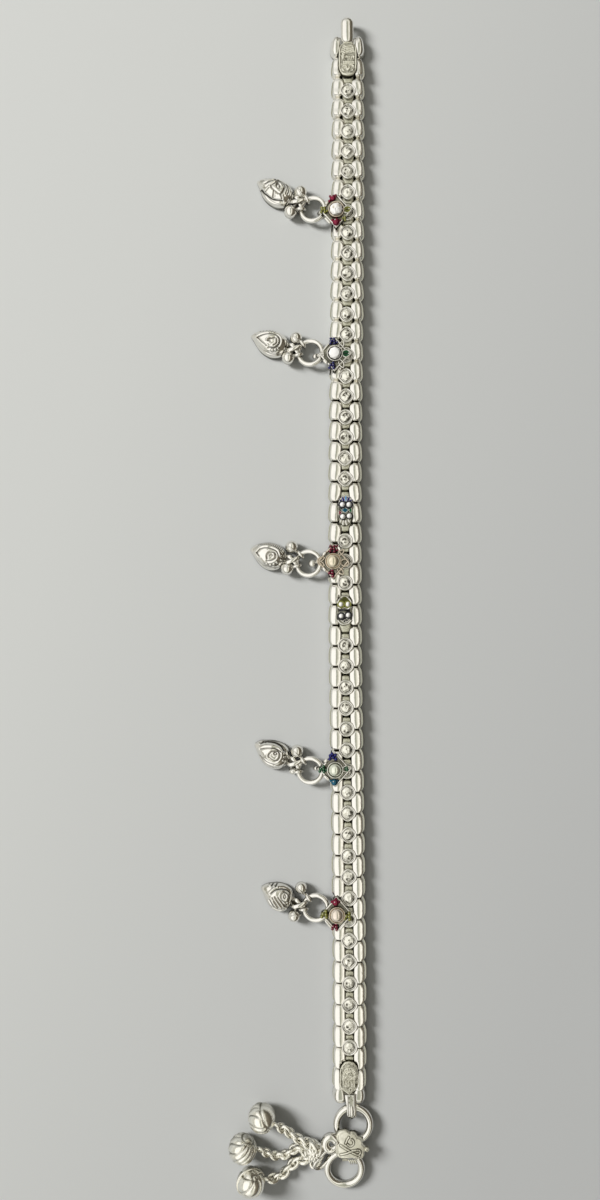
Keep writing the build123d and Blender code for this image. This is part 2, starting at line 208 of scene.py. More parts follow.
def shell(points, tarnish=0.0, finish=0, closed=False):
    """A closed shell from a grid (rows, columns, 3): open rows get caps.
    finish is the place of its material in the list of the piece that it joins."""
    points = np.asarray(points, float)
    rows, columns = points.shape[:2]
    faces = grid_faces(rows, columns, closed)
    if not closed:
        faces.append(list(range(columns)))
        faces.append(list(range((rows - 1) * columns, rows * columns)))
    dark = np.broadcast_to(np.asarray(tarnish, float), (rows, columns)).ravel()
    return dict(points=points.reshape(-1, 3), faces=faces, tarnish=dark, finish=finish, flat=False)


def moved(part, to=(0, 0, 0), turn=0.0):
    """A copy of a part, turned about Z by degrees and then moved."""
    c, s = math.cos(math.radians(turn)), math.sin(math.radians(turn))
    spin = np.array([[c, s, 0], [-s, c, 0], [0, 0, 1]])
    return dict(part, points=part["points"] @ spin + np.array(to, float))


def transformed(part, axes, to):
    """A copy of a part with its X, Y and Z laid along three given directions."""
    return dict(part, points=part["points"] @ np.array(axes, float) + np.array(to, float))


def eased(low, high, x):
    """Smooth step from 0 at low to 1 at high."""
    t = np.clip((np.asarray(x, float) - low) / (high - low), 0, 1)
    return t * t * (3 - 2 * t)


def hump(x):
    """A soft bump: 1 at 0, and next to nothing beyond 2."""
    return np.exp(-x**2)


def between(start, end, x, soft):
    """1 between start and end; it eases to 0 over a soft length inside each."""
    return eased(start, start + soft, x) * (1 - eased(end - soft, end, x))


def half_round(x):
    """A quarter circle: 1 at 0, and 0 from 1 on."""
    return np.sqrt(np.clip(1 - x**2, 0, 1))


def turns(count):
    """Even angles round a circle."""
    return np.linspace(0, 2 * np.pi, count, endpoint=False)


def unit(vector):
    """A direction of length 1."""
    return np.array(vector, float) / np.linalg.norm(vector)


def flow(x, knots):
    """A smooth curve through (x, y) knots."""
    kx, ky = np.array(knots, float).T
    slope = np.gradient(ky, kx)
    i = np.clip(np.searchsorted(kx, x) - 1, 0, len(kx) - 2)
    h = kx[i + 1] - kx[i]
    t = np.clip((x - kx[i]) / h, 0, 1)
    return (ky[i] * (2 * t**3 - 3 * t**2 + 1) + slope[i] * h * (t**3 - 2 * t**2 + t)
            + ky[i + 1] * (3 * t**2 - 2 * t**3) + slope[i + 1] * h * (t**3 - t**2))


def face_out(mesh):
    """Turns every face of closed shells to look outwards."""
    work = bmesh.new()
    work.from_mesh(mesh)
    bmesh.ops.recalc_face_normals(work, faces=work.faces)
    work.to_mesh(mesh)
    work.free()


def make_piece(name, parts, finishes, stands_for, film=0.5):
    """Joins parts into one object that rides on the anklet and stands for CAD nodes.
    film is the share of painted shade put on steep sides and undersides, by the way each point faces."""
    starts = np.cumsum([0] + [len(p["points"]) for p in parts])
    points = np.concatenate([p["points"] for p in parts]) * MM
    faces = [[i + start for i in face] for p, start in zip(parts, starts) for face in p["faces"]]
    mesh = bpy.data.meshes.new(name)
    mesh.from_pydata(points.tolist(), [], faces)
    which = np.concatenate([[p["finish"]] * len(p["faces"]) for p in parts])
    mesh.polygons.foreach_set("material_index", which.astype("i"))
    smooth = np.concatenate([[not p["flat"]] * len(p["faces"]) for p in parts])
    mesh.polygons.foreach_set("use_smooth", smooth)
    for finish in finishes:
        mesh.materials.append(finish)
    mesh.validate()
    face_out(mesh)
    normals = np.empty(3 * len(points), "f")
    mesh.vertices.foreach_get("normal", normals)
    dark = np.concatenate([p["tarnish"] for p in parts]).astype("f")
    # Painted shade: points that face sideways or down are darkened by the film share.
    dark += (1 - dark) * film * (1 - eased(0.12, 0.62, normals[2::3]))
    mesh.attributes.new("tarnish", "FLOAT", "POINT").data.foreach_set("value", dark)
    piece = bpy.data.objects.new(name, mesh)
    bpy.context.scene.collection.objects.link(piece)
    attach(piece, "root")
    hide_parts(*stands_for)
    triangles = sum(len(f) - 2 for f in faces)
    totals.append(triangles)
    print(name, "triangles", triangles)


totals = []
rng = np.random.default_rng(7)  # one seed, so each run gives the same anklet


# %% [markdown]
# ## Silver finishes
# The anklet is cast and stamped sterling silver, polished on the high places. Polished silver
# is a mirror with a very slightly warm, greenish white. Fine porosity from casting breaks its
# reflections a little, and in recesses a brown black sulphide film stays.

# %% Silver
def new_material(name):
    """A material with an empty node tree."""
    made = bpy.data.materials.new(name)
    made.use_nodes = True
    made.node_tree.nodes.clear()
    return made, made.node_tree


def noise(tree, place, size_mm, detail, roughness=0.5):
    """Soft random grain of one size."""
    settings = {"Scale": 1 / (size_mm * MM), "Detail": detail, "Roughness": roughness,
                "Vector": place}
    return node(tree, "ShaderNodeTexNoise", settings).outputs[0]


def silver(name, grain_mm, roughness, bump, worn="#F6F4EE", film="#2E2A1C"):
    """Silver that turns to its film colour where tarnish is high: real sulphide in recesses, and painted
    shade in gaps, on steep sides and undersides; grain_mm is the size of the casting grain.
    """
    made, tree = new_material(name)
    place = node(tree, "ShaderNodeTexCoord").outputs["Object"]
    grain = noise(tree, place, grain_mm, 4.0, 0.6)
    cloud = noise(tree, place, 6 * grain_mm, 2.0)
    depth = node(tree, "ShaderNodeAttribute", {"attribute_name": "tarnish"}).outputs["Fac"]
    patchy = maths(tree, "MULTIPLY_ADD", cloud, 0.5, -0.25)
    # The film colour comes in with tarnish: patina in recesses and painted shade together.
    film_share = remap(tree, maths(tree, "ADD", depth, patchy, clamp=True), 0.2, 0.9, smooth=True)
    tint = mixed(tree, film_share, colour(worn), colour(film))
    gloss = remap(tree, grain, 0.3, 0.75, roughness * 0.75, roughness * 1.4)
    dull = maths(tree, "MULTIPLY_ADD", film_share, 0.3, gloss)
    relief = node(tree, "ShaderNodeBump", {"Strength": bump, "Distance": grain_mm * MM * 0.5,
                                           "Height": grain})
    metal = node(tree, "ShaderNodeBsdfPrincipled", {"Metallic": 1.0, "Base Color": tint,
                                                   "Roughness": dull, "Normal": relief.outputs[0]})
    node(tree, "ShaderNodeOutputMaterial", {"Surface": metal.outputs[0]})
    return made


# Cast silver, tumbled and buffed: sharp, slightly broken reflections.
BUFFED_SILVER = silver("cast_silver_buffed", 0.45, 0.10, 0.05)
# The same casting where the buff doesn't reach: satin and a little grey.
SATIN_SILVER = silver("cast_silver_satin", 0.22, 0.34, 0.5, worn="#DEDDCB")
# Struck sheet: brighter than the casting, with the fine tooth of the die.
STRUCK_SILVER = silver("struck_silver_sheet", 0.3, 0.34, 0.2, worn="#FAF8EA", film="#4E4A34")
# Pickled silver on bells and chains: frosted white, lightly brushed up.
FROSTED_SILVER = silver("pickled_silver_frosted", 0.35, 0.2, 0.12, worn="#FFFDF4", film="#4A4632")
for finish in (BUFFED_SILVER, SATIN_SILVER, STRUCK_SILVER, FROSTED_SILVER):
    print("finish", finish.name)

# %% [markdown]
# ## The table
# A plain pale matt board, with painted shade that makes it a little darker towards the lower
# right. It is large, so the horizon is far away in a low view.

# %% Table
reach = 3.0
corners = [(-reach, -reach, 0), (reach, -reach, 0), (reach, reach, 0), (-reach, reach, 0)]
table_mesh = bpy.data.meshes.new("table")
table_mesh.from_pydata(corners, [], [(0, 1, 2, 3)])
table = bpy.data.objects.new("table", table_mesh)
bpy.context.scene.collection.objects.link(table)
board, tree = new_material("painted_board_matt")
place = node(tree, "ShaderNodeTexCoord").outputs["Object"]
sideways, lengthwise, _ = node(tree, "ShaderNodeSeparateXYZ", {0: place}).outputs
# Painted shade: the board's colour darkens towards the lower right.
slant = maths(tree, "MULTIPLY_ADD", lengthwise, -0.35, sideways)
shade = remap(tree, slant, -0.07, 0.08)
matt = node(tree, "ShaderNodeBsdfPrincipled", {
    "Roughness": 0.9, "Specular IOR Level": 0.2,
    "Base Color": mixed(tree, shade, colour("#D9DBD9"), colour("#CDCFCF"))})
node(tree, "ShaderNodeOutputMaterial", {"Surface": matt.outputs[0]})
table_mesh.materials.append(board)
print("table", reach * 2, "m")


# %% [markdown]
# ## The band
# Fifty rows of two hollow pillows, pressed from sheet, with a small link between them that
# carries a round foil-backed stone in a tall cup. Pins run through both columns. The middle
# line strays a little sideways, as a chain does when it is laid down by hand.

# %% Where a row lies
PITCH = 4.7
ROWS = 50
ROWS_PER_SECTION = 5
BOW = 0.85  # how far the middle line strays to the side
BOW_REACH = 100.0  # over this length
LOBE_OFFSET = 2.25  # from the middle line to a pillow's ridge
# (row, share of a row that the pillows sit lower than the cups): most near the hook
PILLOW_LAG = ((0, 0.24), (11, 0.25), (19, 0.14), (29, 0.035), (50, 0.03))
# (row, degrees that a pillow's lower end leans outwards)
PILLOW_LEAN = ((0, 5.5), (12, 5.5), (22, 4.0), (32, 1.0), (50, 0.0))


def row_y(row):
    """Place of a row's cup along the band; row 0 is at the hook."""
    return (ROWS / 2 - row) * PITCH


def sway(y):
    """Sideways stray of the band's middle line."""
    return BOW * (1 - math.cos(math.pi * y / BOW_REACH)) / 2


def band_turn(y):
    """Degrees that the band turns at a height along it."""
    slope = BOW * math.pi / BOW_REACH / 2 * math.sin(math.pi * y / BOW_REACH)
    return -math.degrees(slope)


def on_band(part, row, offset=0.0, turn=0.0, rise=0.0):
    """A part placed at a row, at a sideways offset, turned with the band."""
    y = row_y(row)
    angle = math.radians(band_turn(y))
    place = (sway(y) + offset * math.cos(angle), y + offset * math.sin(angle), rise)
    return moved(part, place, band_turn(y) + turn)


print("rows from", row_y(0), "to", row_y(ROWS), "mm")

# %% [markdown]
# A pillow is a shallow dome pressed from sheet, with a soft ridge nearer its inner side and a
# thin flat rim outside. Its section is written as slopes, because a slope decides what a
# mirror shows.

# %% Pillow
# (share of the half width from the ridge line, degrees that the top leans there)
SECTION = (
    (-1.0, -80), (-0.95, -72), (-0.91, -40), (-0.86, -17), (-0.76, -13), (-0.60, -11),
    (-0.44, -9), (-0.30, -5), (-0.18, -1), (-0.06, 3), (0.04, 7), (0.14, 9.5), (0.26, 11),
    (0.38, 12), (0.50, 14), (0.58, 20), (0.64, 40), (0.67, 66), (0.69, 76), (0.73, 78),
    (0.745, 76), (0.755, 12), (0.76, 9), (0.80, 9), (0.86, 10), (0.92, 11), (0.95, 16),
    (0.975, 45), (1.0, 84),
)
RIM_FROM = 0.75  # share of the outer half width where the flat rim begins
RIM_TOP = 1.05
PILLOW_TOP = 2.62
PILLOW_INNER = 1.40  # half widths on both sides of the ridge line
PILLOW_OUTER = 1.56
# shares of the half length, closer together where the ends turn down
STATIONS = (0, 0.2, 0.4, 0.55, 0.67, 0.76, 0.83, 0.88, 0.915, 0.94, 0.955, 0.966, 0.974, 0.98, 1)


def pillow(length):
    """The pressed shell of a pillow along Y, whose rim is towards +X."""
    across, lean = np.array(SECTION).T
    t = np.array(STATIONS)
    t = np.concatenate([-t[:0:-1], t])
    lower = t < 0
    away = np.abs(t)
    start = np.where(lower, 0.46, 0.30)
    corner = 1 - np.where(lower, 0.66, 0.56) * (1 - half_round(np.clip(away - start, 0, 1) / (1 - start)))
    width_out = PILLOW_OUTER * (1 - 0.13 * away**2.2) * corner
    width_in = PILLOW_INNER * (1 - 0.20 * eased(0.25, 1.0, away)) * corner
    steps = np.diff(across) * np.where(across[1:] > 0, PILLOW_OUTER, PILLOW_INNER)
    falls = -np.tan(np.radians((lean[1:] + lean[:-1]) / 2)) * steps
    height = np.concatenate([[0], np.cumsum(falls)])
    height += PILLOW_TOP - height.max()
    body = across < RIM_FROM
    height = np.where(body, np.maximum(height, RIM_TOP), np.minimum(height, RIM_TOP))
    # both ends turn down to the rim's height, the lower one later and more sharply
    fall = np.where(lower, np.sqrt(1 - (np.clip(away - 0.80, 0, 0.176) / 0.176) ** 3.0),
                    np.sqrt(1 - (np.clip(away - 0.55, 0, 0.426) / 0.426) ** 2.4))
    crown = RIM_TOP + (height[None, :] - RIM_TOP) * fall[:, None]
    # the lower end stands over the next pillow, whose upper end is tucked under it
    slope = 0.16 * eased(-0.2, -0.8, t) - 0.36 * eased(0.3, 0.95, t)
    crown += slope[:, None] * (height[None, :] > RIM_TOP + 0.1)
    under = [(0.98, 0.55), (0.8, 0.3), (-0.6, 0.3), (-0.98, 0.6)]  # the closed underside
    grid = np.zeros((len(t), len(across) + len(under), 3))
    for j, u in enumerate([*across, *(u for u, _ in under)]):
        grid[:, j, 0] = u * np.where(u > 0, width_out, width_in)
        grid[:, j, 1] = np.where(lower, length / 2 + 0.06, length / 2 + 0.34) * t
    edge = height[None, :] - 0.1 * away[:, None]**6
    grid[:, :len(across), 2] = np.where(body[None, :], crown, edge)
    grid[:, len(across):, 2] = [z for _, z in under]
    # painted shade darkens the low rim and underside, the steep wall, the inner edge and the ends where they
    # meet their neighbours
    z = grid[:, :, 2]
    dark = 0.95 * (1 - eased(0.75, 1.0, z))
    wall = (z < 1.8) & (z > 1.06) & (t[:, None] < 0.75)
    dark = np.maximum(dark, 0.5 * wall)
    ends = 0.95 * eased(0.925, 0.96, -t) + 0.3 * eased(0.7, 0.95, t)
    dark = np.maximum(dark, ends[:, None])
    dark[:, 0:2] = 0.95
    return shell(grid, np.clip(dark, 0, 1))


def mirrored(part):
    """A part with left and right swapped."""
    return dict(part, points=part["points"] * np.array([-1, 1, 1]))


print("pillow", PITCH, "mm a row,", len(SECTION), "slopes across")

# %% [markdown]
# The centre link is a grainy tongue at both ends and a tall cup in the middle. Its stone is
# glass cut with a flat table and foil behind it, so each facet is a small mirror.

# %% Centre link
TONGUE_TOP = 2.15
CUP_RIM = 2.87
CUP_OUTER = 1.77


def revolve(profile, sides, square=0.0):
    """Points of (radius, height) pairs turned about Z; square draws them out to a lozenge."""
    angle = turns(sides)
    r, z = np.array(profile, float).T
    corners = 1 + square * np.cos(4 * angle)
    return np.stack([np.outer(r, corners * np.cos(angle)), np.outer(r, corners * np.sin(angle)),
                     np.repeat(z[:, None], sides, 1)], -1)


def tongue(half_width, end_width, half_length, top):
    """The link's plate: it narrows to both ends, with soft edges and a hammered top."""
    y = np.linspace(-1, 1, 18) * half_length
    share = np.abs(y) / half_length
    width = half_width + (end_width - half_width) * share
    width = width * (0.8 + 0.2 * half_round(np.clip((share - 0.9) / 0.1, 0, 1)))
    across = np.sin(np.linspace(-np.pi / 2, np.pi / 2, 11))
    x = width[:, None] * across
    along_y = np.repeat(y[:, None], len(across), 1)
    dish = 0.016 * hump((np.abs(y)[:, None] - 0.8 * half_length) / 0.35)
    z = top - 0.22 * np.abs(across)[None, :] ** 4 - 0.2 * eased(0.93, 1, share)[:, None] - dish
    z = z + 0.03 * np.sin(9 * x + 3) * np.sin(7 * y[:, None])
    lower = np.stack([x[:, ::-1] * 0.96, along_y, np.full_like(z, 0.25)], -1)
    upper = np.stack([x, along_y, z], -1)
    dark = np.concatenate([0.12 + 0.4 * np.abs(across)[None, :] ** 3 + 0 * z, np.ones_like(z)], 1)
    return shell(np.concatenate([upper, lower], 1), dark, finish=1)


def cup(square):
    """A tall cup with a rounded rim; its seat is dark with patina, and painted shade darkens the ring round
    the stone and the foot of its outer wall.
    """
    profile = [(0.2, 0.4), (1.2, 0.5), (1.30, 1.2), (1.46, 1.9), (1.62, 2.35), (CUP_OUTER, 2.56),
               (CUP_OUTER, 2.68), (1.71, 2.80), (1.60, CUP_RIM), (1.47, 2.84), (1.36, 2.69),
               (1.29, 2.70), (1.21, 2.76), (1.13, 2.68), (1.06, 2.5), (0.2, 2.45)]
    dark = np.array([1, 1, 0.95, 0.85, 0.6, 0.3, 0.02, 0, 0, 0.05, 0.75, 0.4, 0.05, 0.5, 1, 1])
    return shell(revolve(profile, 28, square), dark[:, None])


def cut_stone(radius, base, girdle, table_height, sides, finish=2, table_share=0.5, rough=0.0):
    """A round stone with a flat table and a crown of facets; rough makes a hand-cut one."""
    a = turns(sides)
    step = np.pi / sides
    rise = table_height - girdle
    levels = ((radius, base, 0), (radius, girdle, 0), (radius * 0.82, girdle + 0.55 * rise, step),
              (radius * table_share, table_height - 0.1 * rise, 0), (radius * 0.24, table_height, step))
    rings = [np.stack([r * np.cos(a + shift), r * np.sin(a + shift), np.full(sides, z)], -1)
             for r, z, shift in levels]
    points = np.concatenate(rings)
    inner = slice(2 * sides, 5 * sides)
    points[inner] += rough * rng.normal(0, 1, (3 * sides, 3)) * (0.7, 0.7, 0.6)
    centre = [[*points[4 * sides:].mean(0)[:2], table_height + rough * 0.3]]
    points = np.concatenate([points, centre])
    faces = [list(range(sides))[::-1]]
    for i in range(sides):
        j = (i + 1) % sides
        faces.append([i, j, sides + j, sides + i])
        for low, high, shifted in ((1, 2, True), (2, 3, False), (3, 4, True)):
            p, q, u, v = low * sides + i, low * sides + j, high * sides + i, high * sides + j
            faces += [[p, q, u], [q, v, u]] if shifted else [[p, q, v], [p, v, u]]
        faces.append([4 * sides + i, 4 * sides + j, 5 * sides])
    dark = np.zeros(len(points))
    if rough:
        dark[2 * sides:5 * sides] = 1.4 * (rng.random(3 * sides) < 0.13)
    return dict(points=points, faces=faces, tarnish=dark, finish=finish, flat=True)


def tipped(part, tilt, towards):
    """A part leaned by degrees towards a direction in the table's plane."""
    t, d = math.radians(tilt), math.radians(towards)
    axis = np.array([-math.sin(d), math.cos(d), 0])
    p = part["points"]
    turned = (p * math.cos(t) + np.cross(axis, p) * math.sin(t)
              + np.outer(p @ axis, axis) * (1 - math.cos(t)))
    return dict(part, points=turned)


print("cup", 2 * CUP_OUTER, "mm across,", CUP_RIM, "mm high")

# %% [markdown]
# Foil-backed crystal reads as bright metal with hard facets. A clear polish over a silver
# foil colour gives that without tracing light through the glass.

# %% Foiled crystal
def foiled(name, code, deep, metallic=0.4, gloss=0.06):
    """Glass over foil: part mirror, part milky body, under a clear hard polish."""
    made, tree = new_material(name)
    place = node(tree, "ShaderNodeTexCoord").outputs["Object"]
    cloud = noise(tree, place, 0.5, 2.0)
    depth = node(tree, "ShaderNodeAttribute", {"attribute_name": "tarnish"}).outputs["Fac"]
    patch = maths(tree, "MULTIPLY_ADD", cloud, 0.5, -0.2, clamp=True)
    share = maths(tree, "ADD", depth, patch, clamp=True)
    # tarnish turns it to the deep colour: dark seats and painted shade on steep sides and undersides.
    tint = mixed(tree, share, colour(code), colour(deep))
    glass = node(tree, "ShaderNodeBsdfPrincipled", {"Metallic": metallic, "Roughness": gloss,
                                                   "Coat Weight": 0.4, "Coat Roughness": 0.02,
                                                   "Base Color": tint})
    node(tree, "ShaderNodeOutputMaterial", {"Surface": glass.outputs[0]})
    return made


# Clear cut glass over silver foil: hard bright facets.
CLEAR_STONE = foiled("foiled_crystal_clear", "#FFFDF0", "#4B4638")
print("stone finish", CLEAR_STONE.name)

# %% Band sections
full_pillow = pillow(PITCH - 0.06)
centre_plate = tongue(1.36, 1.10, 2.2, TONGUE_TOP)
stone_cups = [cup(square) for square in (0.0, 0.03, 0.055)]
small_stones = [cut_stone(1.15, 2.45, 2.66, 3.06, sides=8, rough=0.08) for _ in range(9)]


def cross_bar(stations, half_depth, middle, half_height, tarnish):
    """A rod from side to side under the cups."""
    a = np.arange(8) * np.pi / 4
    grid = [np.stack([np.full(8, x), half_depth * np.cos(a), middle + half_height * np.sin(a)], -1)
            for x in stations]
    return shell(np.stack(grid), tarnish, finish=1)


# Both rods are near black: painted shade, so the slots between the links read dark.
hidden_bar = cross_bar((-1.3, -0.6, 0, 0.6, 1.3), 0.45, 0.5, 0.3, 1.0)
cross_pin = cross_bar((-1.9, -1.0, 0, 1.0, 1.9), 0.4, 0.8, 0.4, 0.9)
print("pillow faces", len(full_pillow["faces"]))

# %% [markdown]
# ## Tools for ornament
# Stamped and chased ornament is a height over a plate. The height is added up from strokes:
# a stroke is the distance to a line drawn on the plate, turned to a raised wire or a groove.

# %% Strokes, wires and domes
def distance_to(x, y, line):
    """Distance from every point to a line of (x, y) corners."""
    best = np.full(np.shape(x), 1e9)
    for (ax, ay), (bx, by) in zip(line, line[1:]):
        dx, dy = bx - ax, by - ay
        along = np.clip(((x - ax) * dx + (y - ay) * dy) / (dx * dx + dy * dy + 1e-12), 0, 1)
        best = np.minimum(best, np.hypot(x - ax - along * dx, y - ay - along * dy))
    return best


def stroke(x, y, line, half_width):
    """1 on a line and 0 beyond its half width, with a round section."""
    return half_round(distance_to(x, y, line) / half_width)


def dot(x, y, place, radius):
    """1 at a place and 0 beyond its radius, with a round section."""
    return np.sqrt(np.clip(1 - ((x - place[0]) ** 2 + (y - place[1]) ** 2) / radius**2, 0, 1))


def arc(centre, radius, start, end, steps=14, squash=1.0):
    """Corners of an arc, in degrees."""
    angle = np.radians(np.linspace(start, end, steps))
    return [(centre[0] + radius * math.cos(a), centre[1] + radius * squash * math.sin(a))
            for a in angle]


def wave(start, end, depth, waves):
    """Corners of a wavy line."""
    t = np.linspace(0, 1, 40)
    dx, dy = end[0] - start[0], end[1] - start[1]
    length = math.hypot(dx, dy)
    off = depth * np.sin(2 * np.pi * waves * t)
    return [(start[0] + dx * u - dy / length * o, start[1] + dy * u + dx / length * o)
            for u, o in zip(t, off)]


def wire(line, radius, sides, closed=False, flat=1.0, up=(0, 0, 1), side=None, tarnish=0.0,
         finish=0):
    """A wire along 3-D points; radius and flat may vary, and flat squeezes it along up.
    side fixes the direction of its width."""
    line = np.array(line, float)
    if closed:
        ahead = np.roll(line, -1, 0) - np.roll(line, 1, 0)
    else:
        ahead = np.gradient(line, axis=0)
    ahead /= np.linalg.norm(ahead, axis=1)[:, None] + 1e-12
    across = np.cross(ahead, np.array(up, float)) if side is None else np.tile(side, (len(line), 1))
    across = across / (np.linalg.norm(across, axis=1)[:, None] + 1e-12)
    over = np.cross(across, ahead)
    flat = np.broadcast_to(flat, len(line))[:, None, None]
    angle = turns(sides)
    r = np.broadcast_to(radius, len(line))[:, None, None]
    grid = (line[:, None] + r * np.cos(angle)[None, :, None] * across[:, None]
            + flat * r * np.sin(angle)[None, :, None] * over[:, None])
    return shell(grid, tarnish, finish, closed)


def ring(centre, radius, thickness, normal=(0, 0, 1), steps=48, sides=12, **more):
    """A closed wire ring."""
    normal = unit(normal)
    first = unit(np.cross(normal, (0.31, 0.95, 0.05)))
    second = np.cross(normal, first)
    angle = turns(steps)[:, None]
    line = np.array(centre, float) + radius * (np.cos(angle) * first + np.sin(angle) * second)
    return wire(line, thickness, sides, True, up=tuple(normal), **more)


def ball(centre, radius, rows, columns, stretch=(1, 1, 1), tarnish=0.0, finish=0):
    """A granule or bead."""
    lat = np.clip(np.linspace(-np.pi / 2, np.pi / 2, rows)[:, None], -1.52, 1.52)
    lon = turns(columns)[None, :]
    globe = np.stack([np.cos(lat) * np.cos(lon), np.cos(lat) * np.sin(lon),
                      np.sin(lat) * np.ones_like(lon)], -1)
    return shell(globe * radius * np.array(stretch) + np.array(centre, float), tarnish, finish)


def slab(outline, base, top, relief=None, finish=0, rings=16, edge=0.12, tarnish=0.15):
    """A plate over any star-shaped outline of (x, y) corners, with a rounded edge and a relief.
    relief(x, y) gives height and tarnish; the plate's middle is the outline's mean."""
    outline = np.array(outline, float)
    middle = outline.mean(0)
    share = np.concatenate([np.linspace(0.02, 0.9, rings), [0.95, 0.98, 1.0]])
    flat_xy = middle + share[:, None, None] * (outline - middle)
    x, y = flat_xy[..., 0], flat_xy[..., 1]
    inset = (1 - share)[:, None] * np.linalg.norm(outline - middle, axis=1)[None, :]
    height = np.full(x.shape, top, float) - edge * (1 - half_round(1 - np.clip(inset / edge, 0, 1)))
    dark = np.full(x.shape, tarnish, float)
    if relief:
        lift, shade = relief(x, y)
        fade = eased(0.0, edge, inset)
        height = height + lift * fade
        dark = np.clip(dark + shade * fade, 0, 1)
    upper = np.stack([x, y, height], -1)
    wall = np.concatenate([np.stack([x[-1], y[-1], np.full(x.shape[1], z)], -1)[None]
                           for z in ((base + top - edge) / 2, base + 0.05)])
    under = np.stack([middle[0] + 0.96 * (x[-1] - middle[0]), middle[1] + 0.96 * (y[-1] - middle[1]),
                      np.full(x.shape[1], base)], -1)[None]
    grid = np.concatenate([upper, wall, under])
    # Painted shade: the plate's wall and underside are darkened.
    shade = np.concatenate([dark, np.full((3, x.shape[1]), 0.6)])
    return shell(grid, shade, finish)


print("a quarter arc has", len(arc((0, 0), 1, 0, 90)), "corners")

# %% [markdown]
# ## Ends of the band
# At each end two short pillows close the columns, and a pin ties them in. At the hook they are
# crimped along one side. At the rings they are smooth pears.

# %% End pillows
# (flare towards the tip, how square the outline, the crest and the section are)
CRIMPED = (-0.06, 3.2, 2.8, 2.9)
PEAR = (0.16, 2.2, 3.4, 3.6)
CRIMP_AT = -0.25  # sideways from the pillow's middle
CRIMP_WIDE = 0.24
CRIMP_DEEP = 0.14


def bulb(length, half_width, tip, form):
    """A short rounded pillow along Y, whose free end points along tip, 1 or -1."""
    flare, outline, crest_curve, section = form
    t = np.sin(np.linspace(-1.45, 1.45, 30))[:, None]
    t = t / t.max()
    angle = np.radians(np.linspace(-86, 86, 30))[None, :]
    width = half_width * (1 - np.abs(t) ** outline) ** 0.5 * (1 + flare * t * tip) + 0.06
    y = 0.5 * length * t + 0 * angle
    x = width * np.sin(angle)
    crest = 1.0 + 1.6 * (1 - np.abs(t) ** crest_curve) ** 0.5
    z = 0.35 + (crest - 0.35) * (1 - np.abs(np.sin(angle)) ** section) ** 0.62
    fold = hump((x - CRIMP_AT) / CRIMP_WIDE) * eased(-0.1, 0.6, t * tip) * (z > 0.9)
    fold = fold * (form is CRIMPED)
    top = np.stack([x, y, z - CRIMP_DEEP * fold], -1)
    under = np.stack([width * np.array([[0.85, -0.85]]), np.repeat(y[:, :1], 2, 1),
                      np.full((len(t), 2), 0.12)], -1)
    # Painted shade: the crimp's fold and the low sides near the table are darkened.
    dark = np.clip(0.02 + 0.38 * fold + 0.45 * (z < 0.75), 0, 1)
    return shell(np.concatenate([top, under], 1), np.concatenate([dark, np.ones((len(t), 2))], 1))


END_LEAN = 5.0
# (section, row of the pin, way the pillows point, length, half width, pin to their middle,
# half of their distance apart, form)
ENDS = ((1, 0, 1, 4.9, 1.42, 1.7, 2.5, CRIMPED), (10, ROWS, -1, 4.1, 1.65, 1.25, 2.05, PEAR))
end_parts = {}
for section, row, way, length, half_width, beyond, apart, form in ENDS:
    y = row_y(row)
    part = bulb(length, half_width, way, form)
    pair = [moved(part if side > 0 else mirrored(part), (sway(y) + side * apart, y + way * beyond, 0.0),
                  side * way * END_LEAN) for side in (-1, 1)]
    # The pin between the pillows is near black: painted shade in the gap.
    tie = wire([(sway(y) + x, y, 0.9) for x in (-2.2, -1, 0, 1, 2.2)], 0.42, 8, tarnish=0.9)
    end_parts[section] = pair + [tie]
    print("end pillows in section", section)

# %% [markdown]
# The plates are let into the band: the cups under them are left out and the pillows are
# filed down beside them. Painted shade darkens the filed places, so a dark gap shows all round.

# %% Band sections joined
PLAQUE_PLACES = ((sway(row_y(22.38)), row_y(22.38) - 0.75),
                 (sway(row_y(27.35)) - 0.22, row_y(27.35) + 0.12))
# (middle, half sizes and corner radius of a plate's outline, and the painted shade under it)
PLATE_AREAS = ((0.77, 115.0, 2.12, 3.5, 1.8, 0.7), (0.68, -113.9, 2.06, 2.75, 1.4, 0.7),
               (*PLAQUE_PLACES[0], 1.6, 3.3, 1.55, 0.3), (*PLAQUE_PLACES[1], 1.6, 3.3, 1.55, 0.3))
UNDER_PLATES = (1, 22, 23, 27, 28, 49)  # rows that have no cup
FILED_TO = 1.9


def let_in(part):
    """Pushes a part's points down inside a plate's outline and darkens them there as painted shade."""
    p = part["points"].copy()
    dark = np.array(part["tarnish"], float)
    for mx, my, half_x, half_y, corner, film in PLATE_AREAS:
        qx = np.maximum(np.abs(p[:, 0] - mx) - half_x + corner, 0)
        qy = np.maximum(np.abs(p[:, 1] - my) - half_y + corner, 0)
        inside = (np.hypot(qx, qy) < corner) & (p[:, 2] > FILED_TO)
        p[inside, 2] = FILED_TO
        dark[inside] = film
    return dict(part, points=p, tarnish=dark)


# clean_pillow caps the pillow's painted shade at 0.3, so little black shows between these rows.
clean_pillow = dict(full_pillow, tarnish=np.minimum(full_pillow["tarnish"], 0.3))
CLEAN_ROWS = 16  # rows at the hook end with no black between them


def pillow_pair(row):
    """The left and right pillow of a row, each a little out of true as hand work is."""
    pair = []
    for side in (-1, 1):
        shape = clean_pillow if row < CLEAN_ROWS else full_pillow
        shape = shape if side > 0 else mirrored(shape)
        leaned = tipped(shape, rng.normal(0, 1.1), 0)
        lag = float(flow(row, PILLOW_LAG)) + 0.015 * side
        turn = rng.normal(0, 0.7) + side * float(flow(row, PILLOW_LEAN))
        pair.append(on_band(leaned, row + 0.5 + lag, side * LOBE_OFFSET, turn, 0.03))
    return pair


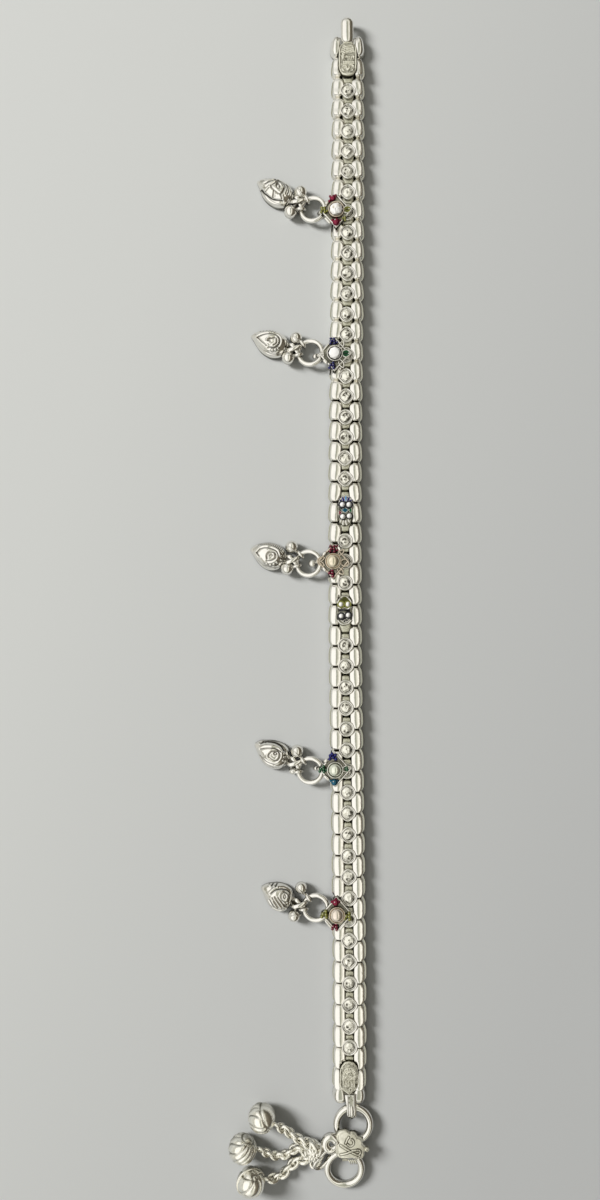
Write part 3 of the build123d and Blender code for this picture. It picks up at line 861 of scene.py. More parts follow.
def cup_and_stone(row):
    """A tipped cup, the bar under its link and a tipped stone."""
    seat = tipped(stone_cups[rng.integers(3)], rng.uniform(0, 2.5), rng.uniform(0, 360))
    stone = moved(small_stones[rng.integers(9)], turn=rng.uniform(0, 360))
    stone = tipped(stone, rng.uniform(1, 3), rng.uniform(120, 260))
    return [on_band(seat, row), on_band(hidden_bar, row + 0.5), on_band(stone, row)]


for section in range(ROWS // ROWS_PER_SECTION):
    parts = []
    for row in range(section * ROWS_PER_SECTION, (section + 1) * ROWS_PER_SECTION):
        parts += pillow_pair(row)
        if row > 0:
            parts.append(on_band(centre_plate, row + (0.07 if row < 26 else -0.08)))
            parts.append(on_band(cross_pin, row))
        if row > 0 and row not in UNDER_PLATES:
            parts += cup_and_stone(row)
    parts += end_parts.get(section + 1, [])
    parts = [let_in(p) for p in parts]
    make_piece(f"band_links_{section + 1}", parts, [BUFFED_SILVER, SATIN_SILVER, CLEAR_STONE],
               [f"band_section_{section + 1}"], film=0.06)

# %% [markdown]
# ## Flower settings
# A lozenge plate with soldered rim wire carries a stone in a bezel and four petals. Petals are
# beads of coloured glass paste and granules, and each flower has its own colours.

# %% Coloured glass, enamel and pearls
# Coloured glass over foil: a deep colour, with a bright flash where it mirrors a light.
RUBY = foiled("ruby_glass_paste", "#8E1A3E", "#160309", 0.75, 0.08)
NAVY = foiled("navy_glass_paste", "#30317C", "#060716", 0.7, 0.08)
TEAL = foiled("teal_glass_paste", "#1A6480", "#041822", 0.7, 0.08)
GREEN = foiled("green_glass_paste", "#2A7048", "#04180C", 0.7, 0.08)
OLIVE = foiled("olive_glass_paste", "#A3A455", "#1C1E08", 0.8, 0.08)
# Nacre and pale glass: a soft, pale mirror, with painted shade that darkens its steep sides.
GOLDEN_PEARL = foiled("golden_pearl_nacre", "#F4EAD2", "#6A5632", 0.8, 0.14)
SILVER_PEARL = foiled("silver_pearl_nacre", "#F6EADC", "#5C4C38", 0.8, 0.14)
PALE_CABOCHON = foiled("pale_cabochon_glass", "#F4F8E8", "#5E6648", 0.75, 0.14)
# White paste: mostly an even, milky body, with little of the mirror.
WHITE_PASTE = foiled("white_glass_paste", "#FFFEFC", "#D4CEC0", 0.2, 0.12)
# A thin gold wash over silver: warm on the wires, brown where tarnish is high, in recesses and as painted
# shade on steep sides.
GOLD_WASH = silver("gold_wash_over_silver", 0.3, 0.16, 0.08, worn="#E9DDCC", film="#5A4530")
FLOWER_FINISHES = [BUFFED_SILVER, SATIN_SILVER, GOLD_WASH, RUBY, NAVY, TEAL, GREEN, OLIVE]
SILVER_AT, SATIN_AT, GOLD_AT, RUBY_AT, NAVY_AT, TEAL_AT, GREEN_AT, OLIVE_AT = range(8)
print("flower finishes", len(FLOWER_FINISHES))

# %% Petals
PLATE_LOW = 2.85
PLATE_HIGH = 3.3


def granules(x, y, spread, size, finish, count):
    """Beads packed round a place on the plate, highest in the middle."""
    made = []
    for i in range(count):
        r = spread * math.sqrt((i + 0.3) / count)
        a = i * 2.4 + 0.4  # the golden angle packs them evenly
        bead = np.array((x + r * math.cos(a), y + r * math.sin(a),
                         PLATE_HIGH + 0.12 + 0.45 * (1 - (r / (spread + 0.2)) ** 2)))
        made.append(ball(bead, size, 7, 10, finish=finish))
        # a small silver ball on the bead's upper left: a painted highlight
        made.append(ball(bead + size * np.array((-0.35, 0.35, 0.85)), 0.3 * size, 5, 7))
    # The near-black seat under the beads is painted shade between them.
    seat = ball((x, y, PLATE_HIGH), spread, 8, 16, (1, 1, 0.35), 1.0, finish)
    return made + [seat]


def big_bead(x, y, size, finish, smalls):
    """One large bead with a small silver ball on its upper left as a painted highlight, and small beads
    beside it.
    """
    made = [ball((x, y, PLATE_HIGH + 0.35), size, 14, 20, (1, 1, 0.85), finish=finish),
            ball((x - 0.3 * size, y + 0.3 * size, PLATE_HIGH + 0.35 + 0.74 * size), 0.22 * size, 6, 9)]
    return made + [ball((x + dx, y + dy, PLATE_HIGH + 0.2), r, 8, 12, finish=finish)
                   for dx, dy, r in smalls]


def cluster(x, y, finish):
    """Six equal beads in a bunch."""
    places = ((0, 0), (-0.75, -0.35), (0.55, -0.4), (-0.25, 0.75), (0.45, 0.5), (-0.65, 0.35))
    return [ball((x + dx, y + dy, PLATE_HIGH + 0.3), 0.42, 9, 12, finish=finish) for dx, dy in places]


def pointed(length, width, steps, sharpness):
    """Outline of a leaf along X, pointed at both ends."""
    t = np.linspace(0, 1, steps)
    upper = [(length * (u - 0.5), width * math.sin(math.pi * u) ** sharpness) for u in t]
    return upper + [(px, -py) for px, py in upper[-2:0:-1]]


def leaf(x, y, turn, length, width, finish):
    """A pointed leaf of coloured paste inside a wire, with a vein."""
    outline = pointed(length, width, 13, 0.9)
    vein = [(-length / 2, 0), (length / 2, 0)]
    body = slab(outline, PLATE_HIGH - 0.2, PLATE_HIGH + 0.35,
                lambda px, py: (-0.15 * stroke(px, py, vein, 0.12), 0.9 * stroke(px, py, vein, 0.14)),
                finish, rings=8, edge=0.15, tarnish=0.1)
    edge = wire([(px, py, PLATE_HIGH + 0.2) for px, py in outline], 0.16, 8, True)
    return [moved(p, (x, y, 0), turn) for p in (body, edge)]


def loop(x, y, turn, length, width, finish):
    """A pointed wire loop over a flat seat, darkened as painted shade."""
    outline = pointed(length, width, 10, 0.8)
    edge = wire([(px, py, PLATE_HIGH + 0.3) for px, py in outline], 0.15, 8, True, finish=finish)
    seat = ball((0, 0, PLATE_HIGH - 0.1), width * 0.9, 6, 12, (1.2, 1, 0.3), 0.65, SATIN_AT)
    return [moved(p, (x, y, 0), turn) for p in (edge, seat)]


def block(x0, y0, x1, y1, width=0.42):
    """A short bright bar soldered on the plate's edge."""
    line = np.linspace((x0, y0, PLATE_HIGH + 0.15), (x1, y1, PLATE_HIGH + 0.15), 7)
    swell = width * np.array([0.55, 0.9, 1, 1, 1, 0.9, 0.55])
    return [wire(line, swell, 10, flat=0.8)]


print("plate from", PLATE_LOW, "to", PLATE_HIGH, "mm")

# %% Flowers
# The petals of each flower: what they are, where they sit and their sizes.
PETALS = (
    ((big_bead, -0.75, 2.75, 0.75, RUBY_AT, ((-0.75, -0.65, 0.38), (0.6, 0.6, 0.36), (-0.6, 0.45, 0.3))),
     (big_bead, 0.0, -2.75, 0.85, RUBY_AT, ((-0.85, 0.45, 0.33), (0.85, 0.4, 0.33))),
     (granules, -2.8, -0.1, 0.85, 0.3416, OLIVE_AT, 7),
     (leaf, 2.5, 0.2, 20, 2.2, 0.75, OLIVE_AT),
     (granules, 1.85, -2.0, 0.5, 0.305, OLIVE_AT, 4),
     (block, -2.4, 1.35, -1.75, 2.15), (block, -2.6, -1.6, -1.25, -3.05, 0.36)),
    ((granules, -0.3, 2.75, 0.95, 0.3294, NAVY_AT, 7),
     (granules, -0.5, -2.75, 0.85, 0.3538, NAVY_AT, 5),
     (granules, -2.7, -0.1, 0.5, 0.3172, SILVER_AT, 4),
     (leaf, 2.55, 0.1, 0, 2.2, 0.8, GREEN_AT),
     (loop, 1.5, 1.9, 60, 2.2, 0.5, SILVER_AT), (loop, 1.5, -2.2, 118, 2.2, 0.5, SILVER_AT),
     (block, -2.5, -1.2, -1.6, -2.2, 0.48), (block, -2.3, 1.2, -1.3, 2.3, 0.25)),
    ((granules, 0.0, 2.7, 1.15, 0.3294, RUBY_AT, 9),
     (granules, -0.4, -2.75, 0.85, 0.4026, RUBY_AT, 4),
     (loop, -2.75, 0.5, 25, 1.9, 0.42, GOLD_AT), (loop, -2.75, -0.5, -30, 1.9, 0.42, GOLD_AT),
     (loop, 2.6, -0.3, -10, 2.0, 0.8, GOLD_AT), (loop, 1.6, -2.1, -50, 2.2, 0.45, GOLD_AT),
     (loop, 1.75, 1.95, 45, 2.0, 0.4, GOLD_AT),
     (block, -2.3, 1.35, -1.5, 2.2, 0.4), (block, -2.3, -1.35, -1.6, -2.2, 0.4)),
    ((cluster, -0.4, 2.75, NAVY_AT),
     (big_bead, -0.15, -2.75, 0.78, TEAL_AT, ((-0.75, 0.3, 0.35), (0.7, 0.35, 0.3))),
     (granules, -2.75, 0.1, 0.9, 0.366, GREEN_AT, 6),
     (loop, 2.5, 0.2, 10, 2.2, 0.6, SILVER_AT), (granules, 2.5, 0.2, 0.4, 0.305, GREEN_AT, 4),
     (block, -2.5, -1.3, -1.2, -2.3, 0.46), (block, -2.4, 1.6, -1.6, 2.35, 0.46)),
    ((big_bead, -0.3, 2.7, 0.8, RUBY_AT, ((-0.75, 0.1, 0.38), (0.75, 0.1, 0.36), (0.15, 0.75, 0.3))),
     (granules, -0.35, -2.65, 0.85, 0.3782, RUBY_AT, 5),
     (granules, -2.65, 0.05, 0.9, 0.4514, OLIVE_AT, 5), (granules, 2.5, -0.4, 0.9, 0.4514, OLIVE_AT, 5),
     (block, -2.7, -1.2, -0.9, -3.3, 0.3), (block, 1.9, -1.9, 0.6, -3.4, 0.26)),
)
# (place from the lug, radius) of the bead beside the eyelet; the fifth flower has none
LUG_BEAD = {0: (-0.95, 0.49, 0.5), 1: (-1.35, 0.13, 0.7), 2: (-1.8, -0.33, 0.92), 3: (-1.3, -0.1, 0.6)}


def flower_mount(kind, lug):
    """The plate, its rim wire, its bezel, its lug and the petals of one flower."""
    warm = GOLD_AT if kind == 2 else SILVER_AT
    t = np.linspace(0, 1, 9)[:-1]
    corners = [(3.55, 0), (0, 3.95), (-3.55, 0), (0, -3.95)]
    outline = [(a[0] + (b[0] - a[0]) * u, a[1] + (b[1] - a[1]) * u)
               for a, b in zip(corners, corners[1:] + corners[:1]) for u in t]
    plate = slab(outline, PLATE_LOW, PLATE_HIGH, lambda px, py: (0 * px, 0.4 + 0 * px), SATIN_AT,
                 rings=6)
    rim = wire([(0.94 * px, 0.94 * py, PLATE_HIGH + 0.08) for px, py in outline], 0.24, 8, True,
               finish=warm)
    bezel = shell(revolve([(0.3, 3.0), (1.6, 3.0), (1.86, 3.1), (1.80, 3.7), (1.84, 4.15),
                           (1.79, 4.29), (1.68, 4.3), (1.60, 4.2), (1.54, 3.8), (0.3, 3.7)], 32),
                  np.array([1, 1, 0.95, 0.7, 0.15, 0, 0, 0.2, 0.9, 1])[:, None],
                  finish=GOLD_AT if kind in (0, 2, 4) else SILVER_AT)
    eyelet = ring((lug, 0, 1.95), 0.88, 0.46, (0, 1, 0), 20, 12, tarnish=0.1)
    parts = [plate, rim, bezel, eyelet]
    if kind in LUG_BEAD:
        x, y, size = LUG_BEAD[kind]
        parts.append(ball((lug + x, y, size + 0.3), size, 14, 20))
    for petal, *sizes in PETALS[kind]:
        parts += petal(*sizes)
    return parts


# (finish, radius) of the round gems
PEARLS = {2: (GOLDEN_PEARL, 1.62), 3: (PALE_CABOCHON, 1.48), 4: (SILVER_PEARL, 1.58)}


def flower_gem(kind):
    """The stone or pearl in the middle of a flower, and its finish."""
    if kind == 0:
        return cut_stone(1.5, 3.75, 4.2, 4.88, sides=9, finish=0, rough=0.06), WHITE_PASTE
    if kind == 1:
        stone = cut_stone(1.42, 3.85, 4.35, 4.8, sides=8, finish=0, table_share=0.72)
        return moved(tipped(stone, 6, 180), (0.47, 0, 0)), WHITE_PASTE
    finish, size = PEARLS[kind]
    return ball((0, 0, 3.9), size, 26, 36, (1, 1, 1.35 / size), finish=0), finish


print("petals", [len(petals) for petals in PETALS])

# %% [markdown]
# ## Mango drops
# A drop is a domed mango: chased with a leaf field, a curl, a notched rope border on its upper
# edge and beads on its lower edge. Two balls flank its neck, and two straps hold its ring.

# %% Outline and chased lines
# Half width and middle line of the dome, each as (distance from the ring's middle, value).
MANGO_WIDTH = ((5.3, 0.5), (5.6, 1.15), (6.2, 1.95), (7.0, 2.6), (8.0, 3.0), (9.0, 3.14), (10.0, 3.02),
               (10.9, 2.72), (12.0, 2.08), (13.1, 1.28), (13.75, 0.7), (14.05, 0.3))
MANGO_BEND = ((5.2, -0.15), (7.0, -0.28), (10.0, -0.25), (12.0, 0.0), (13.1, 0.2), (14.1, 0.1))
# The grooves of each drop: (corners, half width). A corner is (from the ring's middle, up).
CHASED = (
    ((((12.2, -0.1), (11.2, 1.2), (9.4, 2.15), (8.0, 1.9), (7.1, 1.0), (6.9, 0.0)), 0.2),
     (((10.6, -0.3), (10.4, 0.8), (9.4, 1.75), (8.3, 1.5), (7.9, 0.4), (8.1, -0.8), (9.2, -0.8),
       (10.6, -0.3)), 0.18),
     (((9.6, 1.15), (9.05, 0.8), (9.0, 0.1), (9.65, 0.45), (9.6, 1.15)), 0.14),
     (((12.4, -1.5), (10.8, -2.3), (9.0, -2.55), (7.2, -1.9)), 0.2), (((8.1, -0.9), (7.4, -1.5)), 0.12),
     (((9.6, -1.0), (9.2, -2.3)), 0.12), (((10.9, -0.6), (11.3, -1.8)), 0.12)),
    ((((12.6, -0.1), (11.6, 0.8), (10.3, 1.45), (9.0, 1.6), (8.1, 1.2), (7.6, 0.3), (7.7, -0.7),
       (8.4, -1.5), (9.5, -1.8)), 0.2),
     (((12.6, -0.1), (11.3, -1.0), (10.0, -1.6)), 0.14),
     (((10.1, -0.3), (9.6, 0.4), (8.9, 0.8)), 0.2), (((10.1, -0.3), (9.5, -0.3)), 0.16),
     (((8.4, 0.6), (8.15, -0.3), (8.6, -1.0)), 0.13)),
    ((((12.5, -0.5), (11.5, 0.95), (9.9, 1.4), (8.2, 1.1), (7.4, 0.2)), 0.18),
     (((9.7, -1.2), (9.95, -0.3), (9.4, 0.55), (8.3, 0.6), (7.95, -0.4), (8.5, -1.2), (9.7, -1.7)), 0.17),
     (((9.3, -0.3), (9.0, 0.1), (8.7, -0.1)), 0.13), (((12.4, -0.4), (11.7, -1.1)), 0.14),
     (((11.9, 1.65), (9.6, 2.15), (7.7, 1.75), (6.3, 0.9)), 0.13)),
    ((((12.9, 1.0), (12.0, 1.75), (10.4, 2.4), (8.7, 2.35), (7.5, 1.6)), 0.3),
     (((12.5, -0.3), (11.2, 0.7), (9.5, 1.3), (8.1, 1.1)), 0.17),
     (((10.3, -0.8), (9.9, 0.5), (8.6, 0.9), (7.9, 0.1), (8.2, -1.1), (9.2, -1.3), (10.3, -0.8)), 0.17),
     (((9.35, 0.3), (9.0, 0.6), (8.7, 0.3), (9.0, 0.0), (9.35, 0.3)), 0.13),
     (((12.1, -1.7), (10.1, -2.35), (8.2, -2.2)), 0.13)),
    ((((11.6, 0.1), (10.8, 1.3), (9.2, 2.05), (7.6, 1.9), (6.9, 1.1), (6.8, 0.0)), 0.19),
     (((8.5, 1.6), (7.4, 1.2), (7.1, 0.1), (7.7, -0.4), (8.7, 0.0), (9.1, 1.0), (8.5, 1.6)), 0.16),
     (((8.4, 0.8), (8.1, 1.05), (7.8, 0.7), (8.1, 0.4), (8.4, 0.8)), 0.13),
     (((10.9, -0.6), (8.6, -2.3)), 0.15), (((10.4, -0.1), (7.7, -1.9)), 0.15),
     (((9.5, 0.0), (7.0, -1.4)), 0.15), (((11.3, -1.4), (9.6, -2.6), (8.2, -2.7), (7.0, -1.9)), 0.2)),
)
CHASED_BEADS = ((), ((8.6, -2.1), (8.0, -1.8), (7.5, -1.4)),
                ((9.6, -2.3), (8.7, -2.3), (8.0, -1.95), (7.4, -1.4), (6.8, 0.1), (6.6, -0.6), (6.2, -1.1)),
                ((7.2, 1.0), (6.9, 0.3), (6.8, -0.5)), ((7.1, -1.5), (6.6, -0.9)))
# (start, end, pitch) of the notched rope on the upper border
ROPES = ((9.8, 13.0, 0.95), (9.0, 12.9, 0.62), (6.6, 12.9, 0.42), (11.3, 13.2, 0.6), (10.0, 12.9, 0.9))


def smooth(points):
    """A curve through its corners; it closes if they do."""
    p = np.array(points, float)
    closed = np.allclose(p[0], p[-1])
    ends = (p[-2], p[1]) if closed else (2 * p[0] - p[1], 2 * p[-1] - p[-2])
    p = np.vstack([ends[0], p, ends[1]])
    t = np.linspace(0, 1, 7, endpoint=False)[:, None]
    made = [0.5 * (2 * b + (c - a) * t + (2 * a - 5 * b + 4 * c - d) * t**2
                   + (3 * b - a - 3 * c + d) * t**3) for a, b, c, d in zip(p, p[1:], p[2:], p[3:])]
    return [tuple(q) for q in np.vstack(made + [p[-2:-1]])]


def chasing(x, up, share, kind):
    """Height and tarnish of the chased ornament; share runs -1..1 across the mango."""
    lift = 0 * x
    dark = 0 * x
    for corners, half in CHASED[kind]:
        away = distance_to(x, up, smooth(corners))
        lift = lift - 0.2 * hump(away / half)
        lift = lift + 0.07 * hump((away - 2.2 * half) / half)  # metal pushed up beside it
        dark = np.maximum(dark, 0.82 * hump(away / (0.75 * half)))
    for bead_x, bead_up in CHASED_BEADS[kind]:
        away = np.hypot(x - bead_x, up - bead_up)
        lift = lift + 0.16 * half_round(away / 0.3)
        dark = np.maximum(dark, 0.8 * hump((away - 0.36) / 0.09))
    start, end, pitch = ROPES[kind]
    rope = between(start, end, x, 0.4) * eased(0.66, 0.72, share) * (1 - eased(0.93, 0.98, share))
    twist = 0.5 + 0.5 * np.sin(2 * np.pi * (x + 0.6 * share) / pitch)
    lift = lift + rope * (0.14 * twist - 0.04)
    dark = np.maximum(dark, rope * 0.85 * (1 - twist) ** 2)
    rim = (1 - eased(0.05, 0.13, np.abs(share + 0.93))) * eased(6.0, 6.8, x) * (1 - eased(12.6, 13.4, x))
    lift = lift + 0.1 * rim
    seam = hump((share + 0.80) / 0.03) * eased(6.0, 6.8, x) * (1 - eased(11.6, 12.6, x))
    dark = np.maximum(dark, 0.5 * seam)
    collar = hump((x - 6.1 - 0.3 * share**2) / 0.12)
    lift = lift - 0.1 * collar
    dark = np.maximum(dark, 0.7 * collar)
    fade = 1 - eased(13.3, 13.9, x)
    return lift * fade, np.clip(dark * fade, 0, 1)


print("grooves", [len(grooves) for grooves in CHASED])

# %% Mango drop
# (distance from the ring's middle, up, radius) of the two balls of each drop
MANGO_BALLS = (((4.85, 2.2, 1.5), (4.7, -2.95, 1.5)), ((4.6, 2.5, 1.42), (4.9, -2.45, 1.5)),
               ((5.1, 2.9, 1.45), (4.85, -2.1, 1.48)), ((4.8, 2.5, 1.48), (3.9, -1.9, 0.95)),
               ((5.1, 3.5, 1.35), (4.35, -2.9, 1.4)))
MANGO_FROM = 5.32  # where the dome starts, from the ring's middle
MANGO_LONG = 8.75
MANGO_STRETCH = (1.1, 1.06, 1.0, 1.01, 0.92)
# (degrees that a drop turns from its heading, side slip)
MANGO_TURN = ((0.8, 0.0), (0.2, 0.2), (2.5, 0.4), (1.7, 0.0), (3.0, 0.6))
# the two flat straps that cross between the dome's neck and its ring
STRAPS = (((5.9, 0.9, 1.6), (5.0, 0.75, 2.35), (4.1, 0.1, 2.45), (3.3, -0.7, 2.15), (2.7, -1.2, 1.9)),
          ((5.8, -0.5, 1.4), (5.0, -0.6, 1.9), (4.1, -0.1, 1.75), (3.3, 0.6, 1.75), (2.7, 1.1, 1.8)))


def mango_dome(kind):
    """The chased dome along +X from the middle of the drop's ring."""
    x = MANGO_FROM + MANGO_LONG * (0.5 - 0.5 * np.cos(np.linspace(0.02, np.pi - 0.02, 124)))
    width = flow(x, MANGO_WIDTH)[:, None]
    middle = flow(x, MANGO_BEND)[:, None]
    angle = np.radians(np.linspace(-88, 88, 72))[None, :]
    share = np.sin(angle) + 0 * width
    lift, dark = chasing(x[:, None] + 0 * share, middle - width * share, -share, kind)
    crest = np.minimum(0.84 * width, 2.1 + 0.12 * width)
    z = 0.45 + crest * (1 - np.abs(share) ** 2.5) ** 0.62
    y = width * share - middle
    top = np.stack([x[:, None] + 0 * y, y + lift * share, z + lift * np.cos(angle)], -1)
    under = np.stack([np.repeat(x[:, None], 3, 1), width * np.array([[0.88, 0.0, -0.88]]) - middle,
                      np.full((len(x), 3), 0.06)], -1)
    # Painted shade: the steep sides and the underside are darkened.
    dark = np.clip(0.05 + dark + 0.35 * (np.abs(angle) > 1.3), 0, 1)
    grid = np.concatenate([top, under], 1)
    grid[..., 0] = MANGO_FROM + MANGO_STRETCH[kind] * (grid[..., 0] - MANGO_FROM)
    return shell(grid, np.concatenate([dark, np.full((len(x), 3), 0.85)], 1))


def mango(kind):
    """Dome, balls, neck and straps of one drop."""
    parts = [mango_dome(kind)]
    for x, up, size in MANGO_BALLS[kind]:
        parts.append(ball((x, -up, size + 0.03), size, 20, 28))
        outwards = (-0.45, math.copysign(1, -up), 0.15)
        parts.append(ring((x - 0.12, -0.9 * up, 0.9 * size + 0.25), 0.9 * size, 0.22, outwards, 28, 8,
                          tarnish=0.25))
    for strap in STRAPS:
        parts.append(wire(strap, [0.5, 0.48, 0.46, 0.46, 0.4], 12, flat=0.6, tarnish=0.05))
    parts.append(wire([(4.5, 2.0, 1.3), (4.6, 0.8, 1.5), (4.5, -0.9, 1.4)], 0.42, 10, tarnish=0.6))
    parts.append(wire([(3.0, 0, 1.0), (4.2, 0.1, 1.05), (5.7, 0, 1.2)], [0.5, 0.7, 0.9], 12, tarnish=0.8))
    slip = MANGO_TURN[kind][1]
    return [moved(p, (0, slip, 0)) for p in parts]


print("domes", [round(MANGO_LONG * stretch, 1) for stretch in MANGO_STRETCH], "mm long")

# %% [markdown]
# The five drops hang to the left of the band, each at its own angle.

# %% Drops along the band
JUMP_RADIUS = 2.72  # of the drop's ring, to the middle of its wire
JUMP_WIRE = 0.55  # radius of the wire
JUMP_SPAN = 2.68  # from the lug's eyelet to the ring's middle
JUMP_RISE = 0.45  # the ring stands on the eyelet's wire, so it leans
DROP_SPAN = 2.2045  # from the eyelet to where the drop's own lengths start
FLOWER_OFFSET = -2.75
# (row, lug from the flower's middle, heading of the ring, heading of the drop)
DROPS = ((8, -2.85, 156, 151), (15, -2.95, 162, 162), (25, -2.85, 187, 163), (34.9, -2.9, 190, 155),
         (41.7, -2.15, 160, 156))
for number, (row, lug, ring_heading, drop_heading) in enumerate(DROPS, 1):
    kind = number - 1
    place = (sway(row_y(row)) + FLOWER_OFFSET, row_y(row), 0)
    mount = [moved(p, place) for p in flower_mount(kind, lug)]
    make_piece(f"flower_mount_{number}", mount, FLOWER_FINISHES, [f"flower_setting_{number}"])
    gem, finish = flower_gem(kind)
    make_piece(f"flower_gem_{number}", [moved(gem, place)], [finish],
               [f"flower_stone_{number}"])
    h = math.radians(ring_heading)
    x, y = place[0] + lug + JUMP_SPAN * math.cos(h), place[1] + JUMP_SPAN * math.sin(h)
    lean = math.atan2(JUMP_RISE, JUMP_SPAN)
    normal = (math.sin(lean) * math.cos(h), math.sin(lean) * math.sin(h), math.cos(lean))
    hoop = ring((x, y, 1.65), JUMP_RADIUS, JUMP_WIRE, normal, 72, 18)
    make_piece(f"drop_ring_{number}", [hoop], [BUFFED_SILVER], [f"jump_ring_{number}"])
    hung = (place[0] + lug + DROP_SPAN * math.cos(h), place[1] + DROP_SPAN * math.sin(h), 0)
    drop = [moved(p, hung, drop_heading + MANGO_TURN[kind][0]) for p in mango(kind)]
    for turn in (-30, 30):  # the eyes at the ends of the straps
        a = math.radians(drop_heading + turn)
        eye = (x + JUMP_RADIUS * math.cos(a), y + JUMP_RADIUS * math.sin(a), 1.4)
        drop.append(ring(eye, 0.9, 0.38, (-math.sin(a), math.cos(a), 0), 30, 12, tarnish=0.03))
    make_piece(f"mango_drop_{number}", drop, [BUFFED_SILVER, SATIN_SILVER],
               [f"mango_charm_{number}"])

# %% [markdown]
# ## Hook and stamped plates
# The hook is one strip: it leaves the top plate through a narrow neck, swells to a domed
# tongue, turns over at its tip and comes back underneath. Both plates are struck with a raised
# rim and generic leaf, wave and flute ornament on a grained ground.

# %% Plate outlines and struck grain
def outline_of(width_at, low, high, middle_x):
    """Corners of a plate from its half widths along Y."""
    y = low + (high - low) * (0.5 - 0.5 * np.cos(np.linspace(0, np.pi, 46)))
    half = np.maximum(width_at(y), 0.02)
    right = [(middle_x + w, v) for w, v in zip(half, y)]
    left = [(middle_x - w, v) for w, v in zip(half[::-1], y[::-1])]
    return right + left[1:-1]


def struck_grain(x, y, depth=0.06):
    """Grain of a punched ground."""
    a = np.sin(11.3 * x + 2.1 * np.sin(7.1 * y)) * np.sin(12.7 * y + 1.7 * np.sin(8.3 * x))
    return depth * a - 0.04, 0.25 * (a < -0.2) + 0.4


def raised(lift, dark, ridges):
    """Stands (ridge, height) pairs on a struck ground; their tops are free of film."""
    for ridge, height in ridges:
        lift = lift + height * ridge
        dark = dark * (1 - ridge)
    return lift, dark


print("punched ground", np.round(struck_grain(np.array([0.1, 0.2, 0.3]), 0)[0], 3), "mm high")

# %% Hook and its plate
def top_plate_relief(x, y):
    """Waves at the head, a leaf of granules, a row of bosses, a double bar and a foot scroll."""
    lift, dark = struck_grain(x, y)
    u, v = x - 0.77, y - 115.6
    inside = eased(0.28, 0.42, 2.0 - np.abs(u)) * eased(0.25, 0.45, 3.85 - np.abs(v))
    waves = [wave((-half, head), (half, head + 0.1), 0.12, 2.5)
             for half, head in ((1.05, 2.75), (1.23, 2.3), (1.41, 1.85), (1.59, 1.4))]
    granule_leaf = ((-1.15, 0.95), (-0.9, 0.62), (-1.3, 0.4), (-0.85, 0.2), (-1.1, -0.05))
    bosses = [(-0.35 + 0.42 * k, 0.3 - 0.08 * (k % 2)) for k in range(5)]
    bars = [[(-0.95, head), (1.45, head)] for head in (-0.85, -1.2)]
    scroll = (arc((-0.75, -2.35), 0.55, 20, 250), arc((0.8, -2.2), 0.6, -70, 160),
              [(-0.35, -2.1), (0.0, -3.0), (0.45, -2.2)])
    ridges = [(stroke(u, v, line, 0.15), 0.13) for line in waves]
    ridges += [(dot(u, v, spot, 0.26), 0.2) for spot in granule_leaf]
    ridges += [(dot(u, v, spot, 0.25), 0.22) for spot in bosses]
    ridges += [(stroke(u, v, line, 0.13), 0.17) for line in bars]
    ridges += [(stroke(u, v, line, 0.17), 0.18) for line in scroll]
    lift, dark = raised(lift * inside, dark * inside, ridges)
    edge = hump((1.66 - np.abs(u)) / 0.09) * (np.abs(v) < 3.1)
    return lift - 0.08 * edge, np.clip(dark + 0.3 * edge, 0, 1)


def top_plate_width(y):
    """Half widths: a round foot, straight sides and the neck of the hook."""
    foot = flow(y, ((111.6, 0.3), (111.8, 1.0), (112.3, 1.55), (113.0, 1.9), (114.0, 2.03), (117.6, 2.05)))
    neck = flow(y, ((117.6, 2.05), (118.3, 1.88), (119.0, 1.36), (119.45, 0.95), (119.75, 0.8)))
    return np.where(y > 117.6, neck, foot)


TURN_Y = 123.8  # middle and radius of the strip's line where it turns over
TURN_Z = 1.525
TURN_R = 1.15
STRIP_HALF = 0.37  # half of its thickness
CROWN = 0.4  # how far its outside is domed
arm = [(0.69, 119.3, 2.66), (0.66, 119.8, 2.67), (0.64, 120.4, 2.68), (0.62, 121.4, 2.68),
       (0.62, 122.5, 2.68), (0.62, 123.3, 2.68)]
arm += [(0.62, TURN_Y + TURN_R * math.sin(a), TURN_Z + TURN_R * math.cos(a))
        for a in np.radians(np.linspace(0, 180, 19))]
arm += [(0.62, y, 0.385) for y in (123.2, 122.4, 121.6, 120.9, 120.4)]
arm_half = np.concatenate([[1.0, 1.3, 1.44, 1.46, 1.46, 1.46], np.linspace(1.46, 0.95, 19),
                           [0.92, 0.86, 0.8, 0.66, 0.3]])
hook_arm = wire(arm, arm_half, 30, flat=STRIP_HALF / arm_half, side=(1, 0, 0), tarnish=0.03)
# The tongue is domed outside: its outer half is pushed out along the way it faces.
line = np.array(arm)
outward = np.cross(np.array([1.0, 0, 0]), np.gradient(line, axis=0))
outward /= np.linalg.norm(outward, axis=1)[:, None]
p = hook_arm["points"].reshape(len(line), 30, 3)
share_out = np.clip(((p - line[:, None]) * outward[:, None]).sum(-1) / STRIP_HALF, 0, 1)
crown = CROWN * eased(0.8, 2.4, line[:, 2]) * np.minimum(1, arm_half / 1.4)
p += (crown[:, None] * share_out**1.3)[..., None] * outward[:, None]
p[..., 2] = np.maximum(p[..., 2], 0.02)
hook_arm["points"] = p.reshape(-1, 3)
top_plate = slab(outline_of(top_plate_width, 111.6, 119.75, 0.77), 2.2, 2.9, top_plate_relief, 1,
                 rings=44, edge=0.26, tarnish=0.05)
make_piece("hook_and_plate", [hook_arm, top_plate], [BUFFED_SILVER, STRUCK_SILVER],
           ["hook_plate"])


